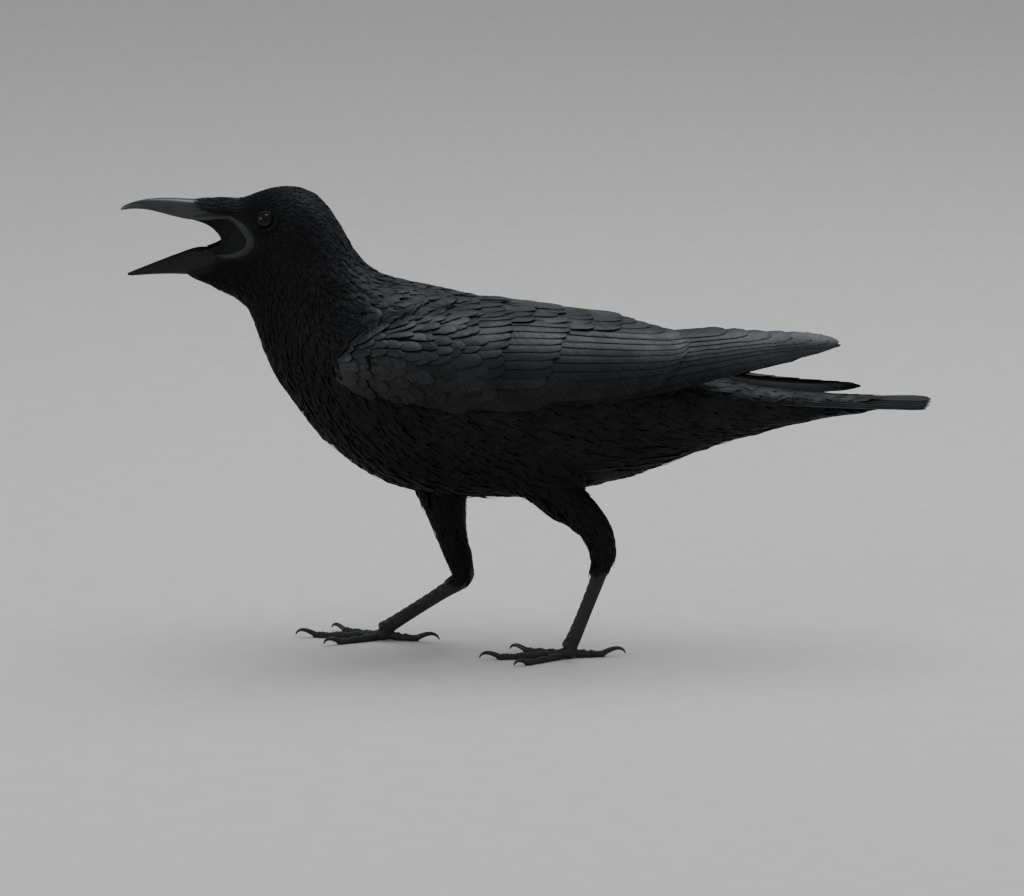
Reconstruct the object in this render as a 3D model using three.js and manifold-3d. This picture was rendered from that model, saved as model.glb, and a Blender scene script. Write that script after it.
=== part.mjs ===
// A life-size crow, walking and calling: body, open bill, folded wings, closed tail and legs.
// Millimetres, +Z up. The bird faces -X and its left side is towards -Y. The part's origin is the
// centre of its outer box, at floor level.
import * as THREE from "three";
import { mergeVertices } from "three/addons/utils/BufferGeometryUtils.js";
import Module from "manifold-3d";

const wasm = await Module();
wasm.setup();

// ---------------------------------------------------------------- driving dimensions

const GAP = 0.35; // clearance between neighbouring pieces
const SQUARENESS = 2.15; // superellipse power of the body's sections
const [BODY_STEPS, BODY_SIDES] = [28, 20]; // facets along and round each long piece
const [WING_STEPS, WING_ACROSS] = [18, 6];
const [TAIL_STEPS, TAIL_ACROSS] = [9, 6];
const [BILL_STEPS, BILL_ARC] = [11, 6];
const [THIGH_STEPS, THIGH_SIDES] = [9, 12];
const [SHANK_STEPS, SHANK_SIDES] = [9, 10];
const [TOE_STEPS, TOE_SIDES] = [8, 8];
const [CLAW_STEPS, CLAW_SIDES] = [6, 6];
const [TUFT_STEPS, TUFT_SIDES] = [5, 12];
const [TONGUE_STEPS, TONGUE_SIDES] = [6, 8];
const EYE_SIDES = 14;
const FINE = 0.07; // how far a surface may move when its needless facets are dropped

// The body from forehead to tail coverts. Each section is an oval in the plane through its top and
// bottom points (x, z in the middle plane), with its half width.
const BODY_SECTIONS = [
  { top: [-144, 257.2], bottom: [-163, 210], half: 10.2 },
  { top: [-136.5, 260.5], bottom: [-160, 207], half: 14.6 },
  { top: [-126, 263.8], bottom: [-151.5, 202.5], half: 18.4 },
  { top: [-113.5, 264.6], bottom: [-142, 197], half: 20.8 },
  { top: [-100.5, 259], bottom: [-137, 186.5], half: 23.5 },
  { top: [-89.5, 244.5], bottom: [-133, 174], half: 27 },
  { top: [-79.5, 226], bottom: [-127, 160], half: 32.5 },
  { top: [-66, 214.5], bottom: [-116.5, 144], half: 38.5 },
  { top: [-48, 210.2], bottom: [-96, 118.5], half: 44 },
  { top: [-30, 206.2], bottom: [-63, 96.5], half: 47.5 },
  { top: [-13, 202.4], bottom: [-31, 89.5], half: 49 },
  { top: [6, 198.6], bottom: [0, 88.6], half: 48.5 },
  { top: [30, 192], bottom: [30, 90.5], half: 45.5 },
  { top: [58, 182.5], bottom: [62, 97], half: 38 },
  { top: [84, 171.5], bottom: [92, 107], half: 29.5 },
  { top: [112, 159.5], bottom: [117, 117.5], half: 22 },
  { top: [140, 151.6], bottom: [144, 124.6], half: 17 },
  { top: [163, 148.4], bottom: [167, 131.2], half: 13 },
  { top: [188, 146.2], bottom: [194, 135.4], half: 8.5 },
];
const HEAD_NECK_CUT = { top: [-86, 252], bottom: [-138.5, 190] };
const NECK_TRUNK_CUT = { top: [-62, 220], bottom: [-120, 150] };

// Bristles that cover the root of the upper bill, and the feathered chin: sections across the
// middle plane at one x each.
const NASAL_TUFT = [
  { x: -138, top: 258.5, bottom: 243.5, half: 10.2 },
  { x: -148, top: 258, bottom: 245.5, half: 9.6 },
  { x: -156, top: 257.9, bottom: 247, half: 8.7 },
  { x: -162.5, top: 257.7, bottom: 249.5, half: 7.6 },
  { x: -167, top: 257.3, bottom: 252.5, half: 5.6 },
];
const CHIN = [
  { x: -150, top: 228, bottom: 204, half: 11.5 },
  { x: -160, top: 224, bottom: 208, half: 10 },
  { x: -168, top: 219, bottom: 211.6, half: 8 },
  { x: -174, top: 217, bottom: 213.4, half: 5.2 },
];

// The bill's sections: culmen (top ridge) and tomium (cutting edge) of the upper half, tomium and
// gonys (bottom ridge) of the lower half.
const UPPER_BILL = [
  { x: -141, top: 255.4, edge: 239.5, half: 8.6 },
  { x: -148, top: 256.2, edge: 243.8, half: 8.3 },
  { x: -156, top: 256.6, edge: 245.6, half: 7.9 },
  { x: -165, top: 257, edge: 246.2, half: 7.2 },
  { x: -173, top: 257.4, edge: 246.9, half: 6.4 },
  { x: -181, top: 257.8, edge: 248.4, half: 5.5 },
  { x: -189, top: 257.8, edge: 250.4, half: 4.5 },
  { x: -197, top: 257.1, edge: 251.9, half: 3.3 },
  { x: -204, top: 255.5, edge: 252, half: 2.1 },
  { x: -209, top: 253.5, edge: 251.3, half: 1.2 },
  { x: -210.8, top: 251.9, edge: 251, half: 0.5 },
];
const LOWER_BILL = [
  { x: -143, edge: 227.6, bottom: 213.5, half: 8.4 },
  { x: -153, edge: 227.8, bottom: 213.8, half: 8 },
  { x: -161, edge: 229, bottom: 214, half: 7.5 },
  { x: -170, edge: 228.6, bottom: 214.4, half: 6.6 },
  { x: -180, edge: 225.4, bottom: 214.9, half: 5.2 },
  { x: -190, edge: 221.8, bottom: 214.8, half: 3.8 },
  { x: -198, edge: 218.8, bottom: 214.4, half: 2.6 },
  { x: -205, edge: 216.2, bottom: 213.9, half: 1.3 },
  { x: -207.4, edge: 215.2, bottom: 214.2, half: 0.6 },
];
const PALATE_RISE = 0.3; // of the upper bill's height
const TROUGH_DEPTH = 0.42; // of the lower bill's height
// Free edge of the cheek skin at the corner of the open mouth: x, z.
const MOUTH_CORNER = [-154.8, 234.7];
const MOUTH_UPPER = [[-158.5, 240.2], [-164.5, 244.6], [-171, 246.4], [-196, 256]];
const MOUTH_LOWER = [[-160.7, 231.4], [-170.8, 228.6], [-196, 217]];
const MOUTH_POCKET = { centre: [-152, 0, 236], radii: [15, 7.4, 6.5] };
const TONGUE = [
  { x: -147, z: 229.6, half: 3.4, thick: 2.4 },
  { x: -156, z: 228.4, half: 3.6, thick: 2.3 },
  { x: -166, z: 226.4, half: 3, thick: 2 },
  { x: -175, z: 223.9, half: 2.1, thick: 1.6 },
  { x: -180, z: 222.4, half: 1, thick: 0.9 },
];

const EYE = { x: -130, y: 12.4, z: 247.6, radius: 6.2 };

// A folded wing along its length: the top edge and bottom edge (y, z), how far the outer face
// bulges between them, and the thickness. Listed for the left wing; y is turned over for the right.
const WING_FRONT = [
  { x: -95, top: [-39.5, 173], bottom: [-41, 165], bulge: 1.2, thick: 4 },
  { x: -84, top: [-37, 187], bottom: [-45, 158], bulge: 6, thick: 8 },
  { x: -59, top: [-25, 197.5], bottom: [-50.5, 152], bulge: 13, thick: 11 },
  { x: -28, top: [-16, 200.5], bottom: [-52, 146.5], bulge: 16.5, thick: 12 },
  { x: 11, top: [-10, 197.8], bottom: [-51.5, 146], bulge: 16.5, thick: 12 },
];
const LEFT_WING = [
  ...WING_FRONT,
  { x: 57, top: [-8.5, 191.2], bottom: [-44.5, 148.8], bulge: 12.5, thick: 9 },
  { x: 89, top: [-7.5, 187.4], bottom: [-36.5, 153], bulge: 8.5, thick: 6.5 },
  { x: 117, top: [-7, 185.8], bottom: [-29, 159], bulge: 5.5, thick: 5 },
  { x: 140, top: [-7.5, 185], bottom: [-23.5, 164.6], bulge: 3.6, thick: 4 },
  { x: 166, top: [-9, 184.2], bottom: [-18, 170.2], bulge: 2, thick: 3 },
  { x: 184, top: [-10.8, 181.6], bottom: [-15.2, 174.2], bulge: 0.8, thick: 2 },
  { x: 189, top: [-12, 179.6], bottom: [-13.8, 176.4], bulge: 0.2, thick: 1.2 },
];
const RIGHT_WING = [
  ...WING_FRONT,
  { x: 57, top: [-8.5, 188.8], bottom: [-44, 147.6], bulge: 12, thick: 9 },
  { x: 89, top: [-9, 177], bottom: [-36, 148], bulge: 7.5, thick: 6.5 },
  { x: 117, top: [-10, 163.5], bottom: [-30.5, 147.4], bulge: 4.5, thick: 4.5 },
  { x: 140, top: [-10, 157.4], bottom: [-27, 145.6], bulge: 2.8, thick: 3.4 },
  { x: 166, top: [-9.5, 155], bottom: [-24, 143.8], bulge: 2, thick: 2.6 },
  { x: 192, top: [-9.5, 153.4], bottom: [-19, 144.6], bulge: 1.2, thick: 1.8 },
  { x: 200, top: [-9.9, 152.6], bottom: [-17.4, 145.2], bulge: 0.7, thick: 1.5 },
  { x: 205.5, top: [-11.2, 150.8], bottom: [-14.8, 147], bulge: 0.2, thick: 1 },
];

// The tail feathers as one closed, slightly arched fan.
const TAIL = [
  { x: 100, top: 146.6, half: 13, droop: 4.2, thick: 4 },
  { x: 140, top: 146.6, half: 18.5, droop: 4.2, thick: 4 },
  { x: 175, top: 145.4, half: 20.5, droop: 3.2, thick: 3.8 },
  { x: 210, top: 144, half: 21.5, droop: 1.8, thick: 3 },
  { x: 232, top: 143.5, half: 20.5, droop: 1.1, thick: 2.2 },
  { x: 238.5, top: 143.4, half: 15, droop: 0.6, thick: 1.7 },
  { x: 240.5, top: 143.3, half: 7, droop: 0.2, thick: 1.3 },
];

// Legs: the feathered thigh's and the bare shank's centre lines with half depth (fore and aft) and
// half width, and where the toes spring from.
const LEFT_LEG = {
  side: -22,
  thigh: [
    { at: [14, 116], depth: 21, width: 15 },
    { at: [29.5, 98.5], depth: 15, width: 12.5 },
    { at: [43.5, 84.5], depth: 10.6, width: 9.6 },
    { at: [53, 74.5], depth: 8.8, width: 8 },
    { at: [57, 64], depth: 7.8, width: 6.8 },
    { at: [57, 54], depth: 6, width: 5 },
  ],
  shank: [
    { at: [58, 66], depth: 4.8, width: 4 },
    { at: [57.8, 57], depth: 5, width: 3.8 },
    { at: [54.4, 45], depth: 4.1, width: 2.9 },
    { at: [48.4, 29], depth: 3.8, width: 2.6 },
    { at: [42, 13], depth: 4, width: 3.2 },
    { at: [38.6, 6], depth: 4.4, width: 4 },
  ],
  toeing: -6,
};
const RIGHT_LEG = {
  side: 22,
  thigh: [
    { at: [-36, 112], depth: 22, width: 15 },
    { at: [-32.5, 88], depth: 15, width: 12.5 },
    { at: [-30, 73], depth: 11, width: 9.6 },
    { at: [-27, 58.5], depth: 8.2, width: 7.6 },
    { at: [-22.6, 46], depth: 7.2, width: 6.2 },
    { at: [-21, 38], depth: 5.8, width: 4.8 },
  ],
  shank: [
    { at: [-19.4, 42], depth: 4.8, width: 4 },
    { at: [-21, 35.4], depth: 5, width: 3.8 },
    { at: [-32, 28], depth: 4.1, width: 2.9 },
    { at: [-46.5, 18.6], depth: 3.8, width: 2.6 },
    { at: [-61, 9.2], depth: 4, width: 3.2 },
    { at: [-66, 6], depth: 4.4, width: 4 },
  ],
  toeing: 8,
};
// Toes by their angle from straight ahead (positive turns outwards), length and claw length.
const TOES = [
  { name: "inner", angle: -33, length: 29, claw: 10.5, radius: 2.5 },
  { name: "middle", angle: 0, length: 41, claw: 12, radius: 2.6 },
  { name: "outer", angle: 31, length: 31, claw: 10, radius: 2.4 },
  { name: "hind", angle: 183, length: 21, claw: 14, radius: 2.7 },
];
const FOOT_HUB = 8.6; // the toes are joined this far from the ankle's end
const SOLE_CUT = 0.45; // how much of a toe's round underside is flattened
const HUB_HEIGHT = 3.4;
const HUB_RADII = [4.4, 4.4, 3.8];
const SHANK_END = 4; // height above the floor where the shank gives way to the foot

const COLOURS = { feather: 0x0b0b0d, horn: 0x141416, leg: 0x121214, eye: 0x120c08, mouth: 0x2a1a1c };

// ---------------------------------------------------------------- making solids

/** A closed surface through rings of equally many points, with fans over its two ends. */
function loft(rings) {
  const around = rings[0].length;
  const points = rings.flat();
  const middle = (ring) =>
    ring.reduce((sum, p) => sum.add(p), new THREE.Vector3()).divideScalar(ring.length);
  const start = points.push(middle(rings[0])) - 1;
  const end = points.push(middle(rings.at(-1))) - 1;
  const index = [];
  for (let j = 0; j < around; j++) {
    const next = (j + 1) % around;
    for (let i = 0; i + 1 < rings.length; i++) {
      const [a, b] = [i * around + j, i * around + next];
      index.push(a, b, b + around, a, b + around, a + around);
    }
    const last = (rings.length - 1) * around;
    index.push(start, next, j, end, last + j, last + next);
  }
  const geometry = new THREE.BufferGeometry().setFromPoints(points);
  geometry.setIndex(index);
  return facingOut(geometry);
}

/** The same geometry with its faces turned over if they enclose a negative volume. */
function facingOut(geometry) {
  const at = geometry.attributes.position;
  const index = geometry.index.array;
  const corner = (i) => new THREE.Vector3().fromBufferAttribute(at, index[i]);
  let volume = 0;
  for (let i = 0; i < index.length; i += 3)
    volume += corner(i).dot(corner(i + 1).cross(corner(i + 2)));
  if (volume < 0)
    for (let i = 0; i < index.length; i += 3)
      [index[i + 1], index[i + 2]] = [index[i + 2], index[i + 1]];
  return geometry;
}

function solid(geometry) {
  const bare = new THREE.BufferGeometry();
  bare.setAttribute("position", geometry.attributes.position);
  bare.setIndex(geometry.index);
  const merged = mergeVertices(bare, 1e-4);
  const mesh = new wasm.Mesh({
    numProp: 3,
    vertProperties: new Float32Array(merged.attributes.position.array),
    triVerts: new Uint32Array(merged.index.array),
  });
  return new wasm.Manifold(mesh);
}

function geometryOf(made) {
  const mesh = made.getMesh();
  const geometry = new THREE.BufferGeometry();
  geometry.setAttribute("position", new THREE.BufferAttribute(mesh.vertProperties, 3));
  geometry.setIndex(new THREE.BufferAttribute(mesh.triVerts, 1));
  geometry.computeVertexNormals();
  return geometry;
}

/** The largest of the separate bodies that a cut leaves. */
function largest(made) {
  return made.decompose().sort((a, b) => b.volume() - a.volume())[0].simplify(FINE);
}

/** Smooth steps through a table of rows of numbers: the rows' curve read at `steps` + 1 places. */
function smoothRows(rows, steps) {
  const columns = rows[0].map((_, c) =>
    new THREE.SplineCurve(rows.map((row, i) => new THREE.Vector2(i, row[c]))),
  );
  return Array.from({ length: steps + 1 }, (_, i) => columns.map((curve) => curve.getPoint(i / steps).y));
}

/** One oval ring round `centre`: `up` and `across` are its half axes as vectors. */
function oval(centre, up, across, sides, power = 2) {
  return Array.from({ length: sides }, (_, j) => {
    const angle = (2 * Math.PI * j) / sides;
    const [c, s] = [Math.cos(angle), Math.sin(angle)];
    const rounded = (v) => Math.sign(v) * Math.abs(v) ** (2 / power);
    return centre.clone().addScaledVector(up, rounded(c)).addScaledVector(across, rounded(s));
  });
}

/** A tube along rows of [x, y, z, half depth, half width], whose depth lies nearest to `depthWay`. */
function tube(rows, steps, sides, depthWay) {
  const path = smoothRows(rows, steps);
  const at = (i) => new THREE.Vector3(...path[i].slice(0, 3));
  return loft(
    path.map((row, i) => {
      const along = at(Math.min(i + 1, steps)).sub(at(Math.max(i - 1, 0))).normalize();
      const across = new THREE.Vector3().crossVectors(along, depthWay).normalize();
      const depth = new THREE.Vector3().crossVectors(across, along);
      return oval(at(i), depth.multiplyScalar(row[3]), across.multiplyScalar(row[4]), sides);
    }),
  );
}

/** A prism across the whole bird over an outline of [x, z] points. */
function prismAcross(outline, halfWidth) {
  const ring = (y) => outline.map(([x, z]) => new THREE.Vector3(x, y, z));
  return solid(loft([ring(-halfWidth), ring(halfWidth)]));
}

function ball(centre, radii, sides = 12) {
  const geometry = new THREE.SphereGeometry(1, sides, sides / 2);
  geometry.scale(...radii).translate(...centre);
  const bare = new THREE.BufferGeometry();
  bare.setAttribute("position", geometry.attributes.position);
  bare.setIndex(geometry.index);
  return solid(mergeVertices(bare, 1e-3));
}

/** A slab along a cut line from `top` to `bottom`, wide enough to part the body. */
function cutSlab({ top, bottom }, thick, reach) {
  const along = new THREE.Vector2(bottom[0] - top[0], bottom[1] - top[1]).normalize();
  const out = new THREE.Vector2(-along.y, along.x);
  const corner = (p, l, o) => [p[0] + along.x * l + out.x * o, p[1] + along.y * l + out.y * o];
  return prismAcross(
    [
      corner(top, -reach, -thick / 2),
      corner(top, -reach, thick / 2),
      corner(bottom, reach, thick / 2),
      corner(bottom, reach, -thick / 2),
    ],
    90,
  );
}

// ---------------------------------------------------------------- body

function bodySolid(grow = 0) {
  const rows = BODY_SECTIONS.map((s) => [...s.top, ...s.bottom, s.half]);
  const rings = smoothRows(rows, BODY_STEPS).map(([tx, tz, bx, bz, half]) => {
    const top = new THREE.Vector3(tx, 0, tz);
    const bottom = new THREE.Vector3(bx, 0, bz);
    const up = top.clone().sub(bottom).multiplyScalar(0.5);
    const centre = top.add(bottom).multiplyScalar(0.5);
    up.setLength(up.length() + grow);
    return oval(centre, up, new THREE.Vector3(0, half + grow, 0), BODY_SIDES, SQUARENESS);
  });
  return solid(loft(rings));
}

function crossSectionSolid(sections, steps, sides) {
  const rows = smoothRows(sections.map((s) => [s.x, s.top, s.bottom, s.half]), steps);
  return solid(
    loft(
      rows.map(([x, top, bottom, half]) =>
        oval(
          new THREE.Vector3(x, 0, (top + bottom) / 2),
          new THREE.Vector3(0, 0, (top - bottom) / 2),
          new THREE.Vector3(0, half, 0),
          sides,
        ),
      ),
    ),
  );
}

// ---------------------------------------------------------------- bill and mouth

/** Half a bill: `ridgeOf` reads the height of the culmen or gonys; `grow` makes a clearance. */
function billSolid(sections, ridgeOf, hollow, grow) {
  const table = sections.map((s) => [s.x, ridgeOf(s), s.edge, s.half]);
  table[0][0] += grow;
  const rings = smoothRows(table, BILL_STEPS).map(([x, ridge, edge, half]) => {
    const away = Math.sign(ridge - edge) * grow;
    const height = ridge - edge + 2 * away;
    const ring = [];
    for (let j = 0; j <= BILL_ARC; j++) {
      const angle = (Math.PI * j) / BILL_ARC;
      const y = Math.sign(Math.cos(angle)) * Math.abs(Math.cos(angle)) ** 0.8 * (half + grow);
      ring.push(new THREE.Vector3(x, y, edge - away + Math.sin(angle) * height));
    }
    for (const y of [-0.6, 0, 0.6]) {
      const depth = grow > 0 ? 0 : hollow * height * (1 - y * y * 1.6);
      ring.push(new THREE.Vector3(x, y * half, edge - away + depth));
    }
    return ring;
  });
  return solid(loft(rings));
}

const upperBill = (grow = 0) => billSolid(UPPER_BILL, (s) => s.top, PALATE_RISE, grow);
const lowerBill = (grow = 0) => billSolid(LOWER_BILL, (s) => s.bottom, TROUGH_DEPTH, grow);

function tongueSolid(grow = 0) {
  const rows = smoothRows(
    TONGUE.map((s) => [s.x, s.z, s.half + grow, s.thick + 2 * grow]),
    TONGUE_STEPS,
  );
  return solid(
    loft(
      rows.map(([x, z, half, thick]) =>
        oval(
          new THREE.Vector3(x, 0, z),
          new THREE.Vector3(0, 0, thick / 2),
          new THREE.Vector3(0, half, 0),
          TONGUE_SIDES,
        ),
      ),
    ),
  );
}

// ---------------------------------------------------------------- wings and tail

function wingSolid(stations, side) {
  const rows = smoothRows(
    stations.map((s) => [s.x, ...s.top, ...s.bottom, s.bulge, s.thick]),
    WING_STEPS,
  );
  const rings = rows.map(([x, ty, tz, by, bz, bulge, thick]) => {
    const chord = new THREE.Vector2(by - ty, bz - tz).normalize();
    const out = new THREE.Vector2(chord.y, -chord.x);
    const point = (v, depth) => {
      const lift = bulge * 4 * v * (1 - v) - depth;
      const y = ty + (by - ty) * v + out.x * lift;
      const z = tz + (bz - tz) * v + out.y * lift;
      return new THREE.Vector3(x, -side * y, z);
    };
    const steps = Array.from({ length: WING_ACROSS + 1 }, (_, i) => i / WING_ACROSS);
    const outer = steps.map((v) => point(v, 0));
    const inner = steps.slice(1, -1).reverse().map((v) => point(v, thick * Math.sin(Math.PI * v) ** 0.5));
    return [...outer, ...inner];
  });
  return solid(loft(rings));
}

function tailSolid() {
  const rows = smoothRows(TAIL.map((s) => [s.x, s.top, s.half, s.droop, s.thick]), TAIL_STEPS);
  const rings = rows.map(([x, top, half, droop, thick]) => {
    const steps = Array.from({ length: TAIL_ACROSS + 1 }, (_, i) => (2 * i) / TAIL_ACROSS - 1);
    const upper = steps.map((v) => new THREE.Vector3(x, v * half, top - droop * v * v));
    const lower = steps
      .slice()
      .reverse()
      .map((v) => new THREE.Vector3(x, v * half, top - droop * v * v - thick * (1 - 0.5 * v * v)));
    return [...upper, ...lower];
  });
  return solid(loft(rings));
}

// ---------------------------------------------------------------- legs

const FORE = new THREE.Vector3(1, 0, 0.6).normalize();
const UP = new THREE.Vector3(0, 0, 1);

function limb(rows, side, steps, sides) {
  return solid(
    tube(rows.map(({ at, depth, width }) => [at[0], side, at[1], depth, width]), steps, sides, FORE),
  );
}

/** A toe from the ankle's end at `root` along `heading`, knuckled, lying on the floor. */
function toeSolid(root, heading, { length, radius }) {
  const knuckles = 4;
  const rows = [];
  for (let i = 0; i <= 2 * knuckles; i++) {
    const t = i / (2 * knuckles);
    const pad = i % 2 ? 1 : 0.86;
    const r = radius * pad * (1 - 0.28 * t);
    const drop = Math.exp(-t * length * 0.22);
    rows.push([
      root.x + heading.x * length * t,
      root.y + heading.y * length * t,
      r - SOLE_CUT + drop * 1.8,
      r,
      r * 0.95,
    ]);
  }
  return solid(tube(rows, TOE_STEPS, TOE_SIDES, UP));
}

/** A claw from the end of its toe, arched over and down to its tip; `grow` makes a clearance. */
function clawSolid(root, heading, { length, claw, radius }, grow = 0) {
  const base = radius * 0.72;
  const rows = [];
  for (let i = 0; i <= 6; i++) {
    const t = i / 6;
    const reach = length - 1.2 + claw * Math.sin(t * 1.35) * 0.92 - (i ? 0 : grow);
    const height = base + 1.1 + claw * 0.16 * Math.sin(t * Math.PI * 0.9) - (base + 0.6) * t * t;
    const r = base * 0.72 * (1 - t) ** 0.8 + 0.28 + grow;
    rows.push([root.x + heading.x * reach, root.y + heading.y * reach, height, r, r * 0.85 + grow]);
  }
  return solid(tube(rows, CLAW_STEPS, CLAW_SIDES, UP));
}

function below(z) {
  return prismAcross([[-400, z], [400, z], [400, z - 60], [-400, z - 60]], 200);
}

/** The ball that the toes meet in; `grow` makes a clearance. */
function hubBall(x, y, grow = 0) {
  return ball([x, y, HUB_HEIGHT], HUB_RADII.map((radius) => radius + grow));
}

function legSolids(leg, label) {
  const made = {};
  const foot = leg.shank.at(-1).at;
  const root = new THREE.Vector3(foot[0], leg.side, 0);
  const hubZone = (radius) =>
    solid(
      new THREE.CylinderGeometry(radius, radius, 60, 12)
        .rotateX(Math.PI / 2)
        .translate(root.x, root.y, 0),
    );
  const thigh = limb(leg.thigh, leg.side, THIGH_STEPS, THIGH_SIDES);
  const shank = limb(leg.shank, leg.side, SHANK_STEPS, SHANK_SIDES);
  const floor = below(0);
  let hub = hubBall(root.x, root.y);
  for (const toe of TOES) {
    const turn = ((Math.sign(leg.side) * toe.angle + leg.toeing) * Math.PI) / 180;
    const heading = new THREE.Vector3(-Math.cos(turn), Math.sin(turn), 0);
    const whole = toeSolid(root, heading, toe).subtract(floor);
    const claw = clawSolid(root, heading, toe).subtract(floor);
    hub = hub.add(whole.intersect(hubZone(FOOT_HUB)));
    made[`claw_${label}_${toe.name}`] = largest(claw);
    made[`toe_${label}_${toe.name}`] = largest(
      whole.subtract(hubZone(FOOT_HUB + GAP)).subtract(clawSolid(root, heading, toe, GAP)),
    );
  }
  hub = largest(hub.subtract(floor));
  made[`foot_${label}`] = hub;
  made[`shank_${label}`] = shank;
  made[`thigh_${label}`] = thigh;
  return made;
}

// ---------------------------------------------------------------- the whole bird

function birdSolids() {
  const parts = {};
  const body = bodySolid();
  const bodyGrown = bodySolid(GAP);
  const face = crossSectionSolid(NASAL_TUFT, TUFT_STEPS, TUFT_SIDES);
  const chin = crossSectionSolid(CHIN, TUFT_STEPS, TUFT_SIDES);
  const mouth = prismAcross(
    [MOUTH_CORNER, ...MOUTH_UPPER, [-230, 262], [-230, 205], ...MOUTH_LOWER.slice().reverse()],
    40,
  );

  // whole legs, cut back below to clear the body
  const legs = { ...legSolids(LEFT_LEG, "left"), ...legSolids(RIGHT_LEG, "right") };

  const headCut = cutSlab(HEAD_NECK_CUT, GAP, 60);
  const trunkCut = cutSlab(NECK_TRUNK_CUT, GAP, 60);
  const pieces = body
    .subtract(headCut)
    .subtract(trunkCut)
    .decompose()
    .sort((a, b) => a.boundingBox().min[0] - b.boundingBox().min[0]);
  const [headBlock, neck, trunkBlock] = pieces.filter((p) => p.volume() > 500);

  const pocket = ball(MOUTH_POCKET.centre, MOUTH_POCKET.radii);
  let head = headBlock.add(face).add(chin).subtract(mouth).subtract(pocket);
  head = head.subtract(upperBill(GAP)).subtract(lowerBill(GAP)).subtract(tongueSolid(GAP));
  for (const side of [-1, 1]) {
    const centre = [EYE.x, side * EYE.y, EYE.z];
    const socket = EYE.radius + GAP;
    head = head.subtract(ball(centre, [socket, socket, socket], EYE_SIDES));
    const r = EYE.radius;
    parts[side < 0 ? "eye_left" : "eye_right"] = ball(centre, [r, r, r], EYE_SIDES);
  }
  parts.tongue = tongueSolid();
  parts.head = largest(head);
  parts.neck = neck;
  parts.bill_upper = upperBill();
  parts.bill_lower = largest(lowerBill().subtract(tongueSolid(GAP)));

  for (const leg of [LEFT_LEG, RIGHT_LEG]) {
    const label = leg === LEFT_LEG ? "left" : "right";
    const thigh = legs[`thigh_${label}`].subtract(bodyGrown);
    const ankle = limb(
      leg.shank.map((s) => ({ ...s, depth: s.depth + GAP, width: s.width + GAP })),
      leg.side,
      SHANK_STEPS,
      SHANK_SIDES,
    );
    legs[`thigh_${label}`] = largest(thigh.subtract(ankle));
    const hubGrown = hubBall(leg.shank.at(-1).at[0], leg.side, GAP);
    legs[`shank_${label}`] = largest(
      legs[`shank_${label}`].subtract(hubGrown).subtract(below(SHANK_END)),
    );
    legs[`foot_${label}`] = largest(legs[`foot_${label}`].subtract(ankle));
  }
  Object.assign(parts, legs);

  const leftWing = wingSolid(LEFT_WING, -1);
  const rightWing = wingSolid(RIGHT_WING, 1);
  parts.wing_left = largest(leftWing.subtract(bodyGrown));
  parts.wing_right = largest(rightWing.subtract(bodyGrown));
  parts.tail = largest(tailSolid().subtract(bodyGrown));
  parts.trunk = trunkBlock;
  return parts;
}

function colourOf(name) {
  if (name.startsWith("bill") || name.startsWith("claw")) return COLOURS.horn;
  if (/^(shank|foot|toe)/.test(name)) return COLOURS.leg;
  if (name.startsWith("eye")) return COLOURS.eye;
  if (name === "tongue") return COLOURS.mouth;
  return COLOURS.feather;
}

const bird = new THREE.Group();
for (const [name, made] of Object.entries(birdSolids())) {
  const glossy = /^(bill|claw|eye)/.test(name);
  const material = new THREE.MeshStandardMaterial({
    color: colourOf(name),
    roughness: glossy ? 0.3 : 0.55,
    metalness: 0,
  });
  const mesh = new THREE.Mesh(geometryOf(made), material);
  mesh.name = name;
  bird.add(mesh);
}

// Put the origin at the centre of the outer box, on the floor.
const box = new THREE.Box3().setFromObject(bird);
const centre = box.getCenter(new THREE.Vector3());
bird.position.set(-centre.x, -centre.y, -box.min.z);

const part = new THREE.Group();
part.add(bird);
export default part;
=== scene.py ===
"""A crow walking and calling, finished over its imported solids: skin, coat, wings, tail, bill, eyes
and scaly legs. Sizes below are in millimetres in the bird's own drawing frame, where x = 0 lies near
the middle of the body and z = 0 is the floor; everything built is in metres in the frame of the CAD."""
import math
from functools import partialmethod

import bmesh
import bpy
import numpy as np
from bpy.props import FloatProperty, FloatVectorProperty, IntProperty, PointerProperty
from mathutils import Matrix, Vector, kdtree
from mathutils.bvhtree import BVHTree


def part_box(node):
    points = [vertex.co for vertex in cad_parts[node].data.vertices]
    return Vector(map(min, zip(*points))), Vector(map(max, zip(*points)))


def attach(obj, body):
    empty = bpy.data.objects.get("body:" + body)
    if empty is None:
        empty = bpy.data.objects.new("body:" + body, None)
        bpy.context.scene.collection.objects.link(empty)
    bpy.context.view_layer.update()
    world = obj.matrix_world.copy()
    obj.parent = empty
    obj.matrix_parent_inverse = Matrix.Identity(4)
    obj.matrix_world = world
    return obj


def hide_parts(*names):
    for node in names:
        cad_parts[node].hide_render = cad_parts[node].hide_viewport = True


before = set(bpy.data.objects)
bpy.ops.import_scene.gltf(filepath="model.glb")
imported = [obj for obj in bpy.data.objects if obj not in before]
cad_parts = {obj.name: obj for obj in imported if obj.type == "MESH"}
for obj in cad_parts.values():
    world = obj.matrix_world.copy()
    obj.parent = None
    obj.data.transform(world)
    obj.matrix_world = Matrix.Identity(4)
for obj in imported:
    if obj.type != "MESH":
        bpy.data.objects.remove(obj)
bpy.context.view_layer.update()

bl_info = {
    "name": "Crow Builder",
    "version": (1, 0, 0),
    "blender": (4, 5, 0),
    "location": "View3D > Sidebar > Crow",
    "description": "Builds a feathered crow over its packed solids",
    "category": "Add Mesh",
}

MM = 0.001
SEED = 7

# ------------------------------------------------------------------ the bird's sizes, as in its solids

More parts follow.
